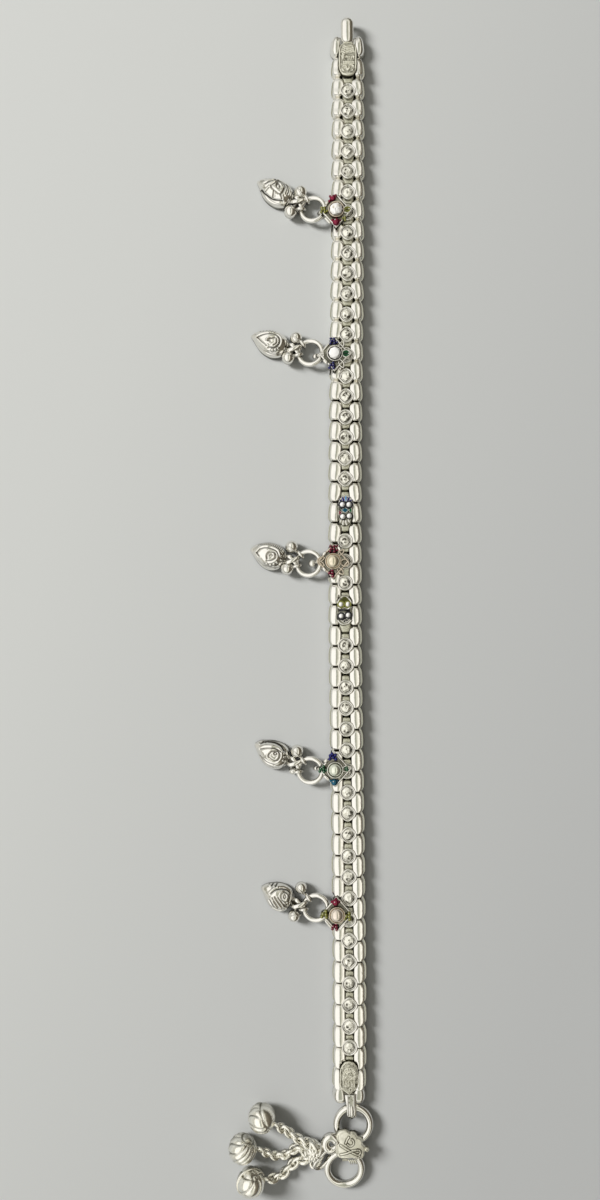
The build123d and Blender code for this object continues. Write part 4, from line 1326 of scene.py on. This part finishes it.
# %% Foot plate
def foot_plate_relief(x, y):
    """A rayed half sun, a double wavy bar, upright flutes and a rosette."""
    lift, dark = struck_grain(x, y)
    u, v = x - 0.68, y + 114.7
    rays = [[(0.1 + 0.45 * math.cos(a), 1.0 + 0.45 * math.sin(a)),
             (0.1 + 1.15 * math.cos(a), 1.0 + 1.1 * math.sin(a))]
            for a in np.radians(np.linspace(5, 175, 9))]
    flutes = [[(k * 0.36 - 1.2, -0.4), (k * 0.34 - 1.15, -1.75)] for k in range(8)]
    shapes = [(ray, 0.1, 0.14) for ray in rays]
    shapes += [(arc((0.1, 1.0), 0.42, 0, 180), 0.15, 0.16), (arc((0.1, 0.95), 1.35, 5, 175), 0.11, 0.1)]
    shapes += [(wave((-1.35, 0.42), (1.45, 0.35), 0.07, 3.5), 0.14, 0.15),
               (wave((-1.35, 0.0), (1.45, -0.05), 0.06, 4.5), 0.12, 0.13)]
    shapes += [(flute, 0.11, 0.15) for flute in flutes] + [(arc((0.35, -2.35), 0.36, 0, 360, 18), 0.1, 0.13)]
    lift, dark = raised(lift, dark, [(stroke(u, v, shape, half), height)
                                     for shape, half, height in shapes])
    boss = dot(u, v, (0.35, -2.35), 0.2)
    edge = hump((1.6 - np.abs(u)) / 0.09) * (v < 2.2) * (v > -2.3)
    return lift + 0.18 * boss - 0.06 * edge, np.clip(dark + 0.15 * edge, 0, 1)


def foot_plate_width(y):
    """Half widths: a shield that comes to a point at both ends."""
    return flow(y, ((-118.3, 0.08), (-117.9, 0.62), (-117.3, 1.4), (-116.8, 1.85), (-116.3, 1.98),
                    (-114.5, 2.0), (-112.9, 1.98), (-112.2, 1.74), (-111.6, 1.28), (-111.15, 0.7),
                    (-111.0, 0.15)))


foot = slab(outline_of(foot_plate_width, -118.28, -111.0, 0.68), 2.2, 2.9, foot_plate_relief, 1,
            rings=44, edge=0.3, tarnish=0.05)
make_piece("foot_plate", [foot], [BUFFED_SILVER, STRUCK_SILVER], ["end_plate"])

# %% [markdown]
# ## Enamel motifs
# Two plaques ride on the band: each is a small silver plate with wire cells, filled with
# enamel, and four round stones.

# %% Enamel cells and stones
# Enamel is glass fused on metal. Violet and sky blue let the metal flash through, as in the
# fan; black hardly does, and it fills the heart, the bar and the collars of most stones.
MOTIF_FINISHES = [SATIN_SILVER, BUFFED_SILVER, NAVY, TEAL, GREEN, OLIVE, RUBY, WHITE_PASTE,
                  foiled("violet_enamel", "#2E2C86", "#100E28", 0.6),
                  foiled("sky_enamel", "#6CA8DC", "#24405C", 0.5),
                  foiled("black_enamel", "#0C0D16", "#030305", 0.1)]
(IN_SATIN, IN_BUFFED, IN_NAVY, IN_TEAL, IN_GREEN, IN_OLIVE, IN_RUBY, IN_WHITE, IN_VIOLET, IN_SKY,
 IN_BLACK) = range(len(MOTIF_FINISHES))
print("motif finishes", len(MOTIF_FINISHES))


def cell(points, finish, top, rim, tarnish=0.0):
    """An enamel cell: a pillow of glass inside a wire."""
    body = slab(points, 2.7, top, None, finish, rings=5, edge=0.22, tarnish=tarnish)
    return [body, wire([(px, py, top - 0.05) for px, py in points], rim, 8, True, finish=IN_BUFFED)]


def oval(cx, cy, rx, ry, turn, steps=20, squeeze=0.0):
    """Corners of an oval; squeeze makes its head narrow, like a drop."""
    made = []
    c, k = math.cos(math.radians(turn)), math.sin(math.radians(turn))
    for a in turns(steps):
        px, py = rx * math.cos(a) * (1 - squeeze * math.sin(a)), ry * math.sin(a)
        made.append((cx + px * c - py * k, cy + px * k + py * c))
    return made


def motif_stone(x, y, radius, collar, tall=1.0, rim=0.21):
    """A white dome of paste in a coloured ring."""
    return [ring((x, y, 3.02), radius + 0.75 * rim, rim, finish=collar, sides=8, steps=28, tarnish=0.1),
            ball((x, y, 3.04), radius, 12, 18, (1, tall, 0.8), finish=IN_WHITE)]


def motif_base(half_x, half_y):
    """A thin silver plate with rounded ends under the cells."""
    corners = [(half_x * math.copysign(abs(math.cos(a)) ** 0.8, math.cos(a)),
                half_y * math.copysign(abs(math.sin(a)) ** 0.9, math.sin(a)))
               for a in turns(56)]
    return slab(corners, 2.22, 2.72, lambda px, py: struck_grain(px, py, 0.03), IN_SATIN, rings=12,
                tarnish=0.1)


# %% Enamel motifs
def upper_motif():
    """A fan of blue petals over two stones, a teal lozenge, two more stones and silver petals."""
    parts = [motif_base(1.62, 3.3)]
    fan = [(-1.42, 1.0)] + arc((0.08, 1.3), 1.45, 180, 0, 16, 1.3) + [(1.55, 1.0)]
    parts += cell(fan, IN_NAVY, 2.98, 0.08, 0.1)
    colours = (IN_VIOLET, IN_NAVY, IN_NAVY, IN_SKY, IN_VIOLET, IN_NAVY, IN_VIOLET)
    for angle, finish in zip(np.linspace(8, 172, 7), colours):
        a = math.radians(angle)
        reach = 1.05 + 0.25 * math.sin(a)
        x, y = 0.1 + reach * math.cos(a), 1.35 + reach * 1.05 * math.sin(a)
        parts += cell(oval(x, y, 0.27, 0.72, angle - 90, 14, 0.3), finish, 3.16, 0.04)
    border = [(px, py, 2.98) for px, py in arc((0.08, 1.2), 1.52, -15, 195, 26, 1.35)]
    parts.append(wire(border, 0.15, 8, finish=IN_BUFFED))
    parts += cell([(-0.05, 0.68), (0.8, 0.05), (-0.05, -0.62), (-0.9, 0.05)], IN_TEAL, 3.12, 0.08)
    parts += cell([(0.75, 0.5), (1.5, 0.45), (1.5, -0.45), (0.95, -0.4)], IN_GREEN, 3.0, 0.08)
    parts += cell([(-0.7, -0.45), (-1.45, 0.0), (-1.5, -1.0), (-1.15, -0.95)], IN_RUBY, 2.96, 0.08)
    for x, y, rim in ((-0.66, 1.3, 0.21), (0.82, 1.3, 0.21), (-0.56, -1.42, 0.1), (0.92, -1.26, 0.1)):
        parts += motif_stone(x, y, 0.6, IN_BLACK, rim=rim)
    # A near-black wire beside the lower right stone: painted shade.
    parts.append(wire([(1.35, -0.85, 2.85), (1.6, -1.3, 2.9), (1.4, -1.8, 2.85)], 0.12, 8, tarnish=1.0))
    for x, y, turn, long in ((-0.95, -2.35, -32, 0.5), (-0.4, -2.75, -10, 0.68), (0.25, -2.75, 12, 0.68),
                             (0.85, -2.35, 32, 0.5)):
        parts.append(slab(oval(x, y, 0.3, long, turn), 2.5, 3.05, None, IN_BUFFED, rings=4, edge=0.18,
                          tarnish=0.03))
    return parts


def lower_motif():
    """An olive arch over two stones, a dark bar, and a black heart with two stones and sparks."""
    parts = [motif_base(1.62, 3.4)]
    arch = [(0.1, 3.2), (0.65, 2.95), (1.15, 2.2), (1.55, 1.3), (1.3, 0.6), (0.75, 0.3), (0.0, 0.6),
            (-0.75, 0.3), (-1.3, 0.6), (-1.55, 1.3), (-1.1, 2.2), (-0.5, 2.95)]
    parts += cell(arch, IN_OLIVE, 2.96, 0.13, 0.35)
    for x0, y0, x1, y1 in ((-1.6, 1.5, -0.75, 2.75), (1.6, 1.5, 0.8, 2.75), (-1.5, 0.75, -0.5, 0.2),
                           (1.5, 0.75, 0.5, 0.2)):
        bow = [(x0, y0, 3.0), ((x0 + x1) / 2 + 0.1 * x0, (y0 + y1) / 2, 3.08), (x1, y1, 3.0)]
        parts.append(wire(bow, 0.19, 8, finish=IN_BUFFED))
    parts += motif_stone(-0.78, 1.3, 0.55, IN_OLIVE) + motif_stone(0.78, 1.3, 0.5, IN_OLIVE, 1.25)
    parts.append(wire([(-1.2, -0.12, 2.95), (0, -0.02, 3.02), (1.15, -0.15, 2.95)], 0.19, 8,
                      finish=IN_BLACK))
    heart = [(0.05, -0.75), (0.5, -0.42), (1.05, -0.42), (1.5, -0.95), (1.45, -1.6), (0.95, -2.35),
             (0.1, -2.9), (-0.75, -2.3), (-1.4, -1.6), (-1.5, -0.95), (-1.05, -0.42), (-0.4, -0.42)]
    parts += cell(heart, IN_BLACK, 2.96, 0.12)
    parts += motif_stone(-0.74, -1.35, 0.56, IN_BLACK) + motif_stone(0.84, -1.15, 0.56, IN_BLACK)
    for x, y in ((-0.1, -1.75), (0.25, -1.45), (0.1, -1.05), (0.45, -1.95), (0.1, -2.15), (0.75, -2.0),
                 (-0.25, -2.35), (0.3, -2.5), (0.05, -0.7)):
        parts.append(ball((x, y, 3.04), 0.17, 6, 8, finish=IN_BUFFED))
    foot = [(px, py, 2.9) for px, py in arc((0.0, -1.6), 1.6, 200, 340, 18)]
    parts.append(wire(foot, 0.2, 8, finish=IN_BUFFED))
    return parts


for number, (place, motif) in enumerate(zip(PLAQUE_PLACES, (upper_motif, lower_motif)), 1):
    placed = [moved(p, (*place, 0), band_turn(place[1])) for p in motif()]
    make_piece(f"enamel_motif_{number}", placed, MOTIF_FINISHES, [f"enamel_plaque_{number}"])

# %% [markdown]
# ## Strap, end rings and their ornament
# A folded strip holds the upper ring. A domed plate with chased stalks joins the two rings, and
# a thick curl at its side carries the tassel.

# %% Strap
STRIP_THIN = 0.24  # half of the strip's thickness
strap_line = [(1.0, -118.27, 2.74), (1.02, -119.2, 2.82), (1.12, -120.2, 2.86), (1.22, -121.4, 2.84)]
strap_line += [(1.25, -122.3 - 1.4 * math.sin(a), 1.5 + 1.26 * math.cos(a))
               for a in np.radians(np.linspace(10, 172, 14))]
strap_line += [(1.05, -120.8, 0.27), (1.0, -119.5, 0.27), (1.0, -118.3, 0.27)]
strap_half = np.concatenate([[1.3, 1.2, 1.1, 1.08], np.linspace(1.08, 0.22, 14), [0.4, 0.6, 0.6]])
strap = wire(strap_line, strap_half, 22, flat=STRIP_THIN / strap_half, side=(1, 0, 0), tarnish=0.05)
# (place along the strap, height, spread) of the two wires on its edges
EDGE = ((-118.5, 2.95, 1.15), (-119.6, 3.02, 1.1), (-121.0, 3.06, 1.0), (-122.4, 2.96, 0.9),
        (-123.3, 2.5, 0.7))
face = [wire([(1.1 + dx * spread, y, z) for y, z, spread in EDGE], [0.16, 0.17, 0.17, 0.16, 0.1], 8,
             tarnish=0.4) for dx in (-0.62, 0.6)]
face.append(wire([(1.15, -120.3, 2.9), (1.25, -121.2, 3.05), (1.3, -122.3, 3.02), (1.3, -123.2, 2.62),
                  (1.3, -123.7, 1.9)], [0.2, 0.4, 0.44, 0.4, 0.2], 14))
knurl = [ball((1.0 + 0.42 * math.sin(5.1 * i), -118.5 - 0.2 * i, 2.92), 0.2, 6, 8, tarnish=0.45, finish=1)
         for i in range(8)]
make_piece("ring_strap", [strap] + face + knurl, [BUFFED_SILVER, SATIN_SILVER], ["strap_loop"])

# %% Rings
# (name, middle, radius, wire radius, degrees that lift the ring's upper edge)
RINGS = (("upper", (1.66, -125.3, 1.5), 3.7, 0.78, 0), ("lower", (-0.33, -135.1, 1.19), 3.8, 0.8, 6))
for name, middle, radius, thickness, lean in RINGS:
    normal = (0, -math.sin(math.radians(lean)), math.cos(math.radians(lean)))
    hoop = ring(middle, radius, thickness, normal, steps=110, sides=26, tarnish=0.02)
    make_piece(f"end_ring_{name}", [hoop], [BUFFED_SILVER], [f"{name}_ring"])

# %% Ornament between the rings
ORNAMENT_EDGE = ((0.1, -125.75), (0.75, -126.35), (1.5, -126.1), (2.25, -126.55), (2.45, -127.25),
                 (3.2, -127.35), (3.75, -128.05), (3.62, -128.75), (4.25, -129.3), (4.35, -130.1),
                 (4.0, -130.75), (4.1, -131.4), (3.6, -132.1), (2.7, -132.25), (1.6, -131.9),
                 (0.4, -132.0), (-0.9, -132.1), (-1.9, -131.75), (-2.4, -130.9), (-2.45, -129.6),
                 (-2.4, -128.2), (-2.25, -126.9), (-1.75, -126.1), (-0.9, -125.8))


def rounded(corners):
    """Corners cut softly, so a scalloped outline has round lobes."""
    pts = np.array(corners, float)
    for _ in range(3):
        ahead = np.roll(pts, -1, 0)
        pts = np.stack([0.75 * pts + 0.25 * ahead, 0.25 * pts + 0.75 * ahead], 1).reshape(-1, 2)
    return pts


def ornament_relief(x, y):
    """A low dome with a rim on the left, two crossing stalks, a curled leaf and granules."""
    far = np.hypot((x - 0.9) / 3.6, (y + 129.0) / 3.5)
    lift = 0.55 * (1 - np.clip(far, 0, 1) ** 2.0)
    dark = np.full(np.shape(x), 0.3)
    shapes = (
        (((-1.9, -126.9), (-2.0, -128.6), (-1.95, -130.9)), 0.16, 0.06),
        (((-1.2, -128.9), (0.3, -129.75), (1.6, -130.55), (3.0, -131.3)), 0.21, 0.14),
        (((-1.2, -131.0), (0.2, -130.55), (1.3, -130.0), (2.5, -129.85)), 0.17, 0.12),
        (arc((2.55, -130.45), 0.6, 90, -80), 0.16, 0.12),
        (arc((0.95, -128.2), 0.72, -150, 60), 0.16, 0.12),
        (((0.6, -127.1), (0.15, -127.7), (-0.1, -128.35)), 0.16, 0.1),
    )
    for shape, half, height in shapes:
        ridge = stroke(x, y, shape, half)
        beside = stroke(x, y, shape, half + 0.24) * (1 - ridge)
        lift = lift + 0.9 * height * ridge - 0.07 * beside
        dark = dark * (1 - ridge) + 0.5 * beside * (ridge < 0.25) * (height > 0.08)
    bead = sum(dot(x, y, (px, -131.65 - 0.06 * (i % 2)), 0.2)
               for i, px in enumerate(np.arange(-1.4, 3.6, 0.42)))
    rim = np.clip(far - 0.86, 0, 0.1) * 10
    return lift + 0.12 * bead + 0.05 * rim, np.clip(dark, 0, 1)


face_plate = slab(rounded(ORNAMENT_EDGE), 2.36, 3.1, ornament_relief, 0, rings=52, edge=0.4,
                  tarnish=0.03)
# Two legs inside the rings and a sole under them hold both rings to the plate.
legs = [slab([(x - 0.62, y - 0.24), (x + 0.62, y - 0.24), (x + 0.62, y + 0.24), (x - 0.62, y + 0.24)],
             0.02, 2.6, rings=3, edge=0.06, tarnish=0.5) for x, y in ((1.66, -127.75), (-0.23, -132.55))]
sole = slab([(1.04, -127.5), (2.28, -127.5), (0.39, -132.8), (-0.85, -132.8)], 0.02, 0.64, rings=4,
            edge=0.1, tarnish=0.5)
curl_line = [(-3.4 + 1.22 * math.cos(a), -128.95 + 1.4 * math.sin(a), 2.5)
             for a in np.radians(np.linspace(20, 340, 60))]
curl_size = 0.95 * np.clip(np.linspace(1, 0.35, 60) * 1.8, 0.6, 1)
curl = wire([(-1.7, -127.9, 2.7)] + curl_line + [(-2.05, -129.9, 2.6)],
            np.concatenate([[0.9], curl_size, [0.45]]), 22, tarnish=0.02, finish=1)
bars = [wire([(x, -132.35, 2.75), (x + 0.35, -132.9, 2.72), (x + 0.5, -133.45, 2.45)],
             [0.15, 0.17, 0.12], 8, tarnish=0.25) for x in (0.5, 0.95, 1.4, 1.85)]
knob = moved(cut_stone(0.62, 2.3, 2.7, 3.2, sides=6, finish=0, rough=0.03), (4.55, -130.15, 0))
make_piece("ring_knot_ornament", [face_plate, sole, curl, knob] + legs + bars,
           [STRUCK_SILVER, BUFFED_SILVER], ["ring_ornament"])

# %% [markdown]
# ## Tassel
# An oval link hangs in the curl and gathers three short chains. Links follow each chain's route
# and roll by a quarter turn from one to the next. Each chain ends in a ribbed jingle bell.

# %% Oval link
OVAL_HALF = 1.2  # half of its straight sides
OVAL_ROUND = 1.4  # radius of its round ends
oval_link = []
for way in (1, -1):
    oval_link += [(way * x, way * OVAL_ROUND, 0) for x in np.linspace(-OVAL_HALF, OVAL_HALF, 8)]
    oval_link += [(way * (OVAL_HALF + OVAL_ROUND * math.sin(a)), way * OVAL_ROUND * math.cos(a), 0)
                  for a in np.radians(np.linspace(12, 168, 12))]
oval_link = np.array(oval_link) + (-1.5 - OVAL_HALF, 0, 0)
tilt = math.radians(32)
turn = math.radians(48)
oval_link = oval_link @ np.array([[1, 0, 0], [0, math.cos(tilt), math.sin(tilt)],
                                  [0, -math.sin(tilt), math.cos(tilt)]])
oval_link = oval_link @ np.array([[math.cos(turn), math.sin(turn), 0],
                                  [-math.sin(turn), math.cos(turn), 0], [0, 0, 1]])
oval_link = oval_link + (-3.2, -130.5, 2.5)
make_piece("oval_link", [wire(oval_link, 0.34, 14, True, up=(0.3, -0.3, 0.9), tarnish=0.05)],
           [BUFFED_SILVER], ["tassel_link"])


# %% Chains
def route(points, spacing):
    """Even places along a smooth curve through a chain's route, with their directions."""
    curve = bpy.data.curves.new("route", "CURVE")
    curve.dimensions = "3D"
    curve.resolution_u = 24
    spline = curve.splines.new("NURBS")
    spline.points.add(len(points) - 1)
    for made, point in zip(spline.points, points):
        made.co = (*point, 1.0)
    spline.order_u = 3
    spline.use_endpoint_u = True
    carrier = bpy.data.objects.new("route", curve)
    line = bpy.data.meshes.new_from_object(carrier)
    corners = np.array([v.co[:] for v in line.vertices])
    bpy.data.objects.remove(carrier)
    bpy.data.curves.remove(curve)
    bpy.data.meshes.remove(line)
    run = np.concatenate([[0], np.cumsum(np.linalg.norm(np.diff(corners, axis=0), axis=1))])
    at = np.arange(spacing / 2, run[-1], spacing)
    places = np.stack([np.interp(at, run, corners[:, k]) for k in range(3)], 1)
    ahead = np.stack([np.interp(at + 0.05, run, corners[:, k])
                      - np.interp(at - 0.05, run, corners[:, k]) for k in range(3)], 1)
    return places, ahead / np.linalg.norm(ahead, axis=1)[:, None]


def chain_link(long, wide, thick):
    """A curb link along X: an oval wire, a little twisted."""
    a = turns(16)
    line = np.stack([long * np.cos(a), wide * np.sin(a), 0.16 * np.sin(2 * a)], 1)
    return wire(line, thick, 8, True, tarnish=0.08)


def along(part, place, ahead, roll):
    """A part whose X is laid along a direction, rolled by degrees."""
    across = unit(np.cross((0, 0, 1), ahead))
    over = np.cross(ahead, across)
    c, k = math.cos(math.radians(roll)), math.sin(math.radians(roll))
    return transformed(part, (ahead, c * across + k * over, c * over - k * across), place)


LINK_WIRE = 0.42  # radius of the chain's wire
KNOT = (-7.1, -130.8)  # middle of the knot that gathers the chains
# (route, link half length, link half width, spacing)
CHAINS = (
    (((-7.3, -129.9, 3.0), (-11.3, -127.7, 1.5), (-15.75, -124.9, 2.4)), 1.08, 0.82, 1.12),
    (((-7.6, -131.0, 2.0), (-10.4, -129.8, 1.4), (-14.8, -133.5, 1.1), (-19.5, -130.1, 2.4)),
     1.02, 0.72, 1.16),
    (((-7.3, -131.7, 1.5), (-11.8, -133.7, 1.3), (-14.6, -137.4, 1.2), (-17.7, -136.9, 2.2)),
     1.3, 0.86, 1.42),
)


def chain(points, long, wide, spacing):
    """Links along a route: larger and more jostled near the oval link, and bunched beside it."""
    link = chain_link(long, wide, LINK_WIRE)
    made = []
    for i, (place, way) in enumerate(zip(*route(points, spacing))):
        near = math.exp(-i * spacing / 2.2)
        size = 0.88 + 0.26 * math.exp(-i * spacing / 5.0)
        jostle = rng.normal(0, 1, 3) * (0.06 + 0.2 * near)
        height = max(place[2] + 0.4 * jostle[2], 0.9 * (wide + LINK_WIRE) * size)
        sized = dict(link, points=link["points"] * size)
        roll = (45 if i % 2 else -45) + rng.normal(0, 8 + 30 * near)
        made.append(along(sized, (place[0] + jostle[0], place[1] + jostle[1], height), way, roll))
    for _ in range(8):
        at = np.array(points[0]) + (0.3, 0, 0) + rng.normal(0, 1, 3) * (0.8, 0.75, 0.3)
        way = rng.normal(0, 1, 3) * (1, 1, 0.35)
        at[2] = min(max(at[2], 0.6 * long + wide), 3.2)
        made.append(along(link, at, unit(way), rng.uniform(0, 180)))
    return made


def rayed_knot():
    """The small star of wires that gathers the three chains."""
    x, y = KNOT
    rays = [[(x + r * math.cos(a), y + r * math.sin(a), z) for r, z in ((0.2, 3.9), (0.9, 3.8), (1.7, 3.3))]
            for a in np.radians(np.linspace(0, 360, 8, endpoint=False) + 14)]
    return [wire(ray, [0.3, 0.42, 0.16], 10) for ray in rays] + [ball((x, y, 3.9), 0.5, 8, 12)]


for number, (points, long, wide, spacing) in enumerate(CHAINS, 1):
    parts = chain(points, long, wide, spacing)
    if number == 1:
        parts += rayed_knot()
    make_piece(f"tassel_links_{number}", parts, [FROSTED_SILVER], [f"tassel_chain_{number}"])


# %% Bells
BELL_RADIUS = 2.98
BELL_MIDDLE = 3.12  # its height over the table
# (centre, rib axis, ribs, swirl, where the cap ends in radians, depth of the grooves)
BELLS = (
    ((-18.5, -123.05), (0.86, 0.48, 0.12), 10, 0.5, 1.2, 0.2),
    ((-22.85, -129.75), (0.45, 0.88, 0.12), 11, 0.7, 0.5, 0.2),
    ((-21.0, -136.95), (0.37, 0.68, 0.63), 5, 0.5, 0.2, 0.3),
)


def bell(ribs, axis, centre, cap, depth, swirl, seed):
    """A ribbed hollow ball: a smooth cap, a groove round it, and ribs that gather at a lip."""
    polar = np.linspace(0.02, np.pi - 0.02, 54)[:, None]
    turn = turns(108)[None, :]
    wobble = 0.16 * np.sin(turn * 2 + seed) + 0.08 * np.sin(turn * 3 + 2 * seed)
    phase = (ribs * (turn + wobble + swirl * polar) / (2 * np.pi)) % 1.0
    away = np.minimum(phase, 1 - phase)
    spread = eased(cap, cap + 0.35, polar) * (1 - eased(2.65, 2.95, polar))
    groove = hump(away / (0.009 * ribs)) * spread
    belly = np.sin(np.pi * phase) ** 0.6 * spread
    collar = hump((polar - cap) / 0.07) + 0 * turn
    lip = hump((polar - 2.72) / 0.09) + 0 * turn
    radius = BELL_RADIUS - depth * groove + 0.16 * belly - 0.12 * collar + 0.05 * lip
    grid = np.stack([radius * np.sin(polar) * np.cos(turn), radius * np.sin(polar) * np.sin(turn),
                     radius * np.cos(polar) + 0 * turn], -1)
    dark = np.clip(0.02 + 0.6 * groove + 0.55 * collar + 0.2 * (polar > 2.85), 0, 1)
    axis = unit(axis)
    first = unit(np.cross(axis, (0.1, 0.2, 1.0)))
    return transformed(shell(grid, dark), (first, np.cross(axis, first), axis), centre)


def bell_neck(centre, end):
    """The neck and eye that join a bell to the end of its chain."""
    span = np.linalg.norm(end - centre)
    heading = (end - centre) / span
    reach = span - 0.35
    line = [centre + heading * d for d in (2.6, 2.95, 3.2, reach - 0.15, reach)]
    eye = ring(centre + heading * (reach - 0.25), 0.5, 0.2, np.cross(heading, (0, 0, 1)), 20, 8)
    return [wire(line, [1.15, 0.85, 0.55, 0.42, 0.3], 16, tarnish=0.1), eye]


def lip_beads(centre, axis):
    """Up to five beads at the lip, where they clear the table."""
    lip_way = -unit(axis)
    side = unit(np.cross(lip_way, (0, 0, 1)))
    places = [centre + 2.75 * (lip_way * math.cos(0.28) + math.sin(0.28) * side * k * 0.55)
              for k in range(-2, 3)]
    return [ball(at, 0.36, 8, 10) for at in places if at[2] > 0.7]


for number, ((x, y), axis, ribs, swirl, cap, depth) in enumerate(BELLS, 1):
    centre = np.array((x, y, BELL_MIDDLE))
    parts = [bell(ribs, axis, centre, cap, depth, swirl, number)]
    parts += bell_neck(centre, np.array(CHAINS[number - 1][0][-1])) + lip_beads(centre, axis)
    if number == 3:  # the seam between its two halves shows
        parts.append(ring(centre + (-0.1, 0, 0.1), 3.0, 0.3, (0.3, -0.12, 0.9), 60, 10))
    make_piece(f"jingle_bell_{number}", parts, [FROSTED_SILVER], [f"bell_{number}"])

# %% Finish
print("triangles in all", sum(totals))
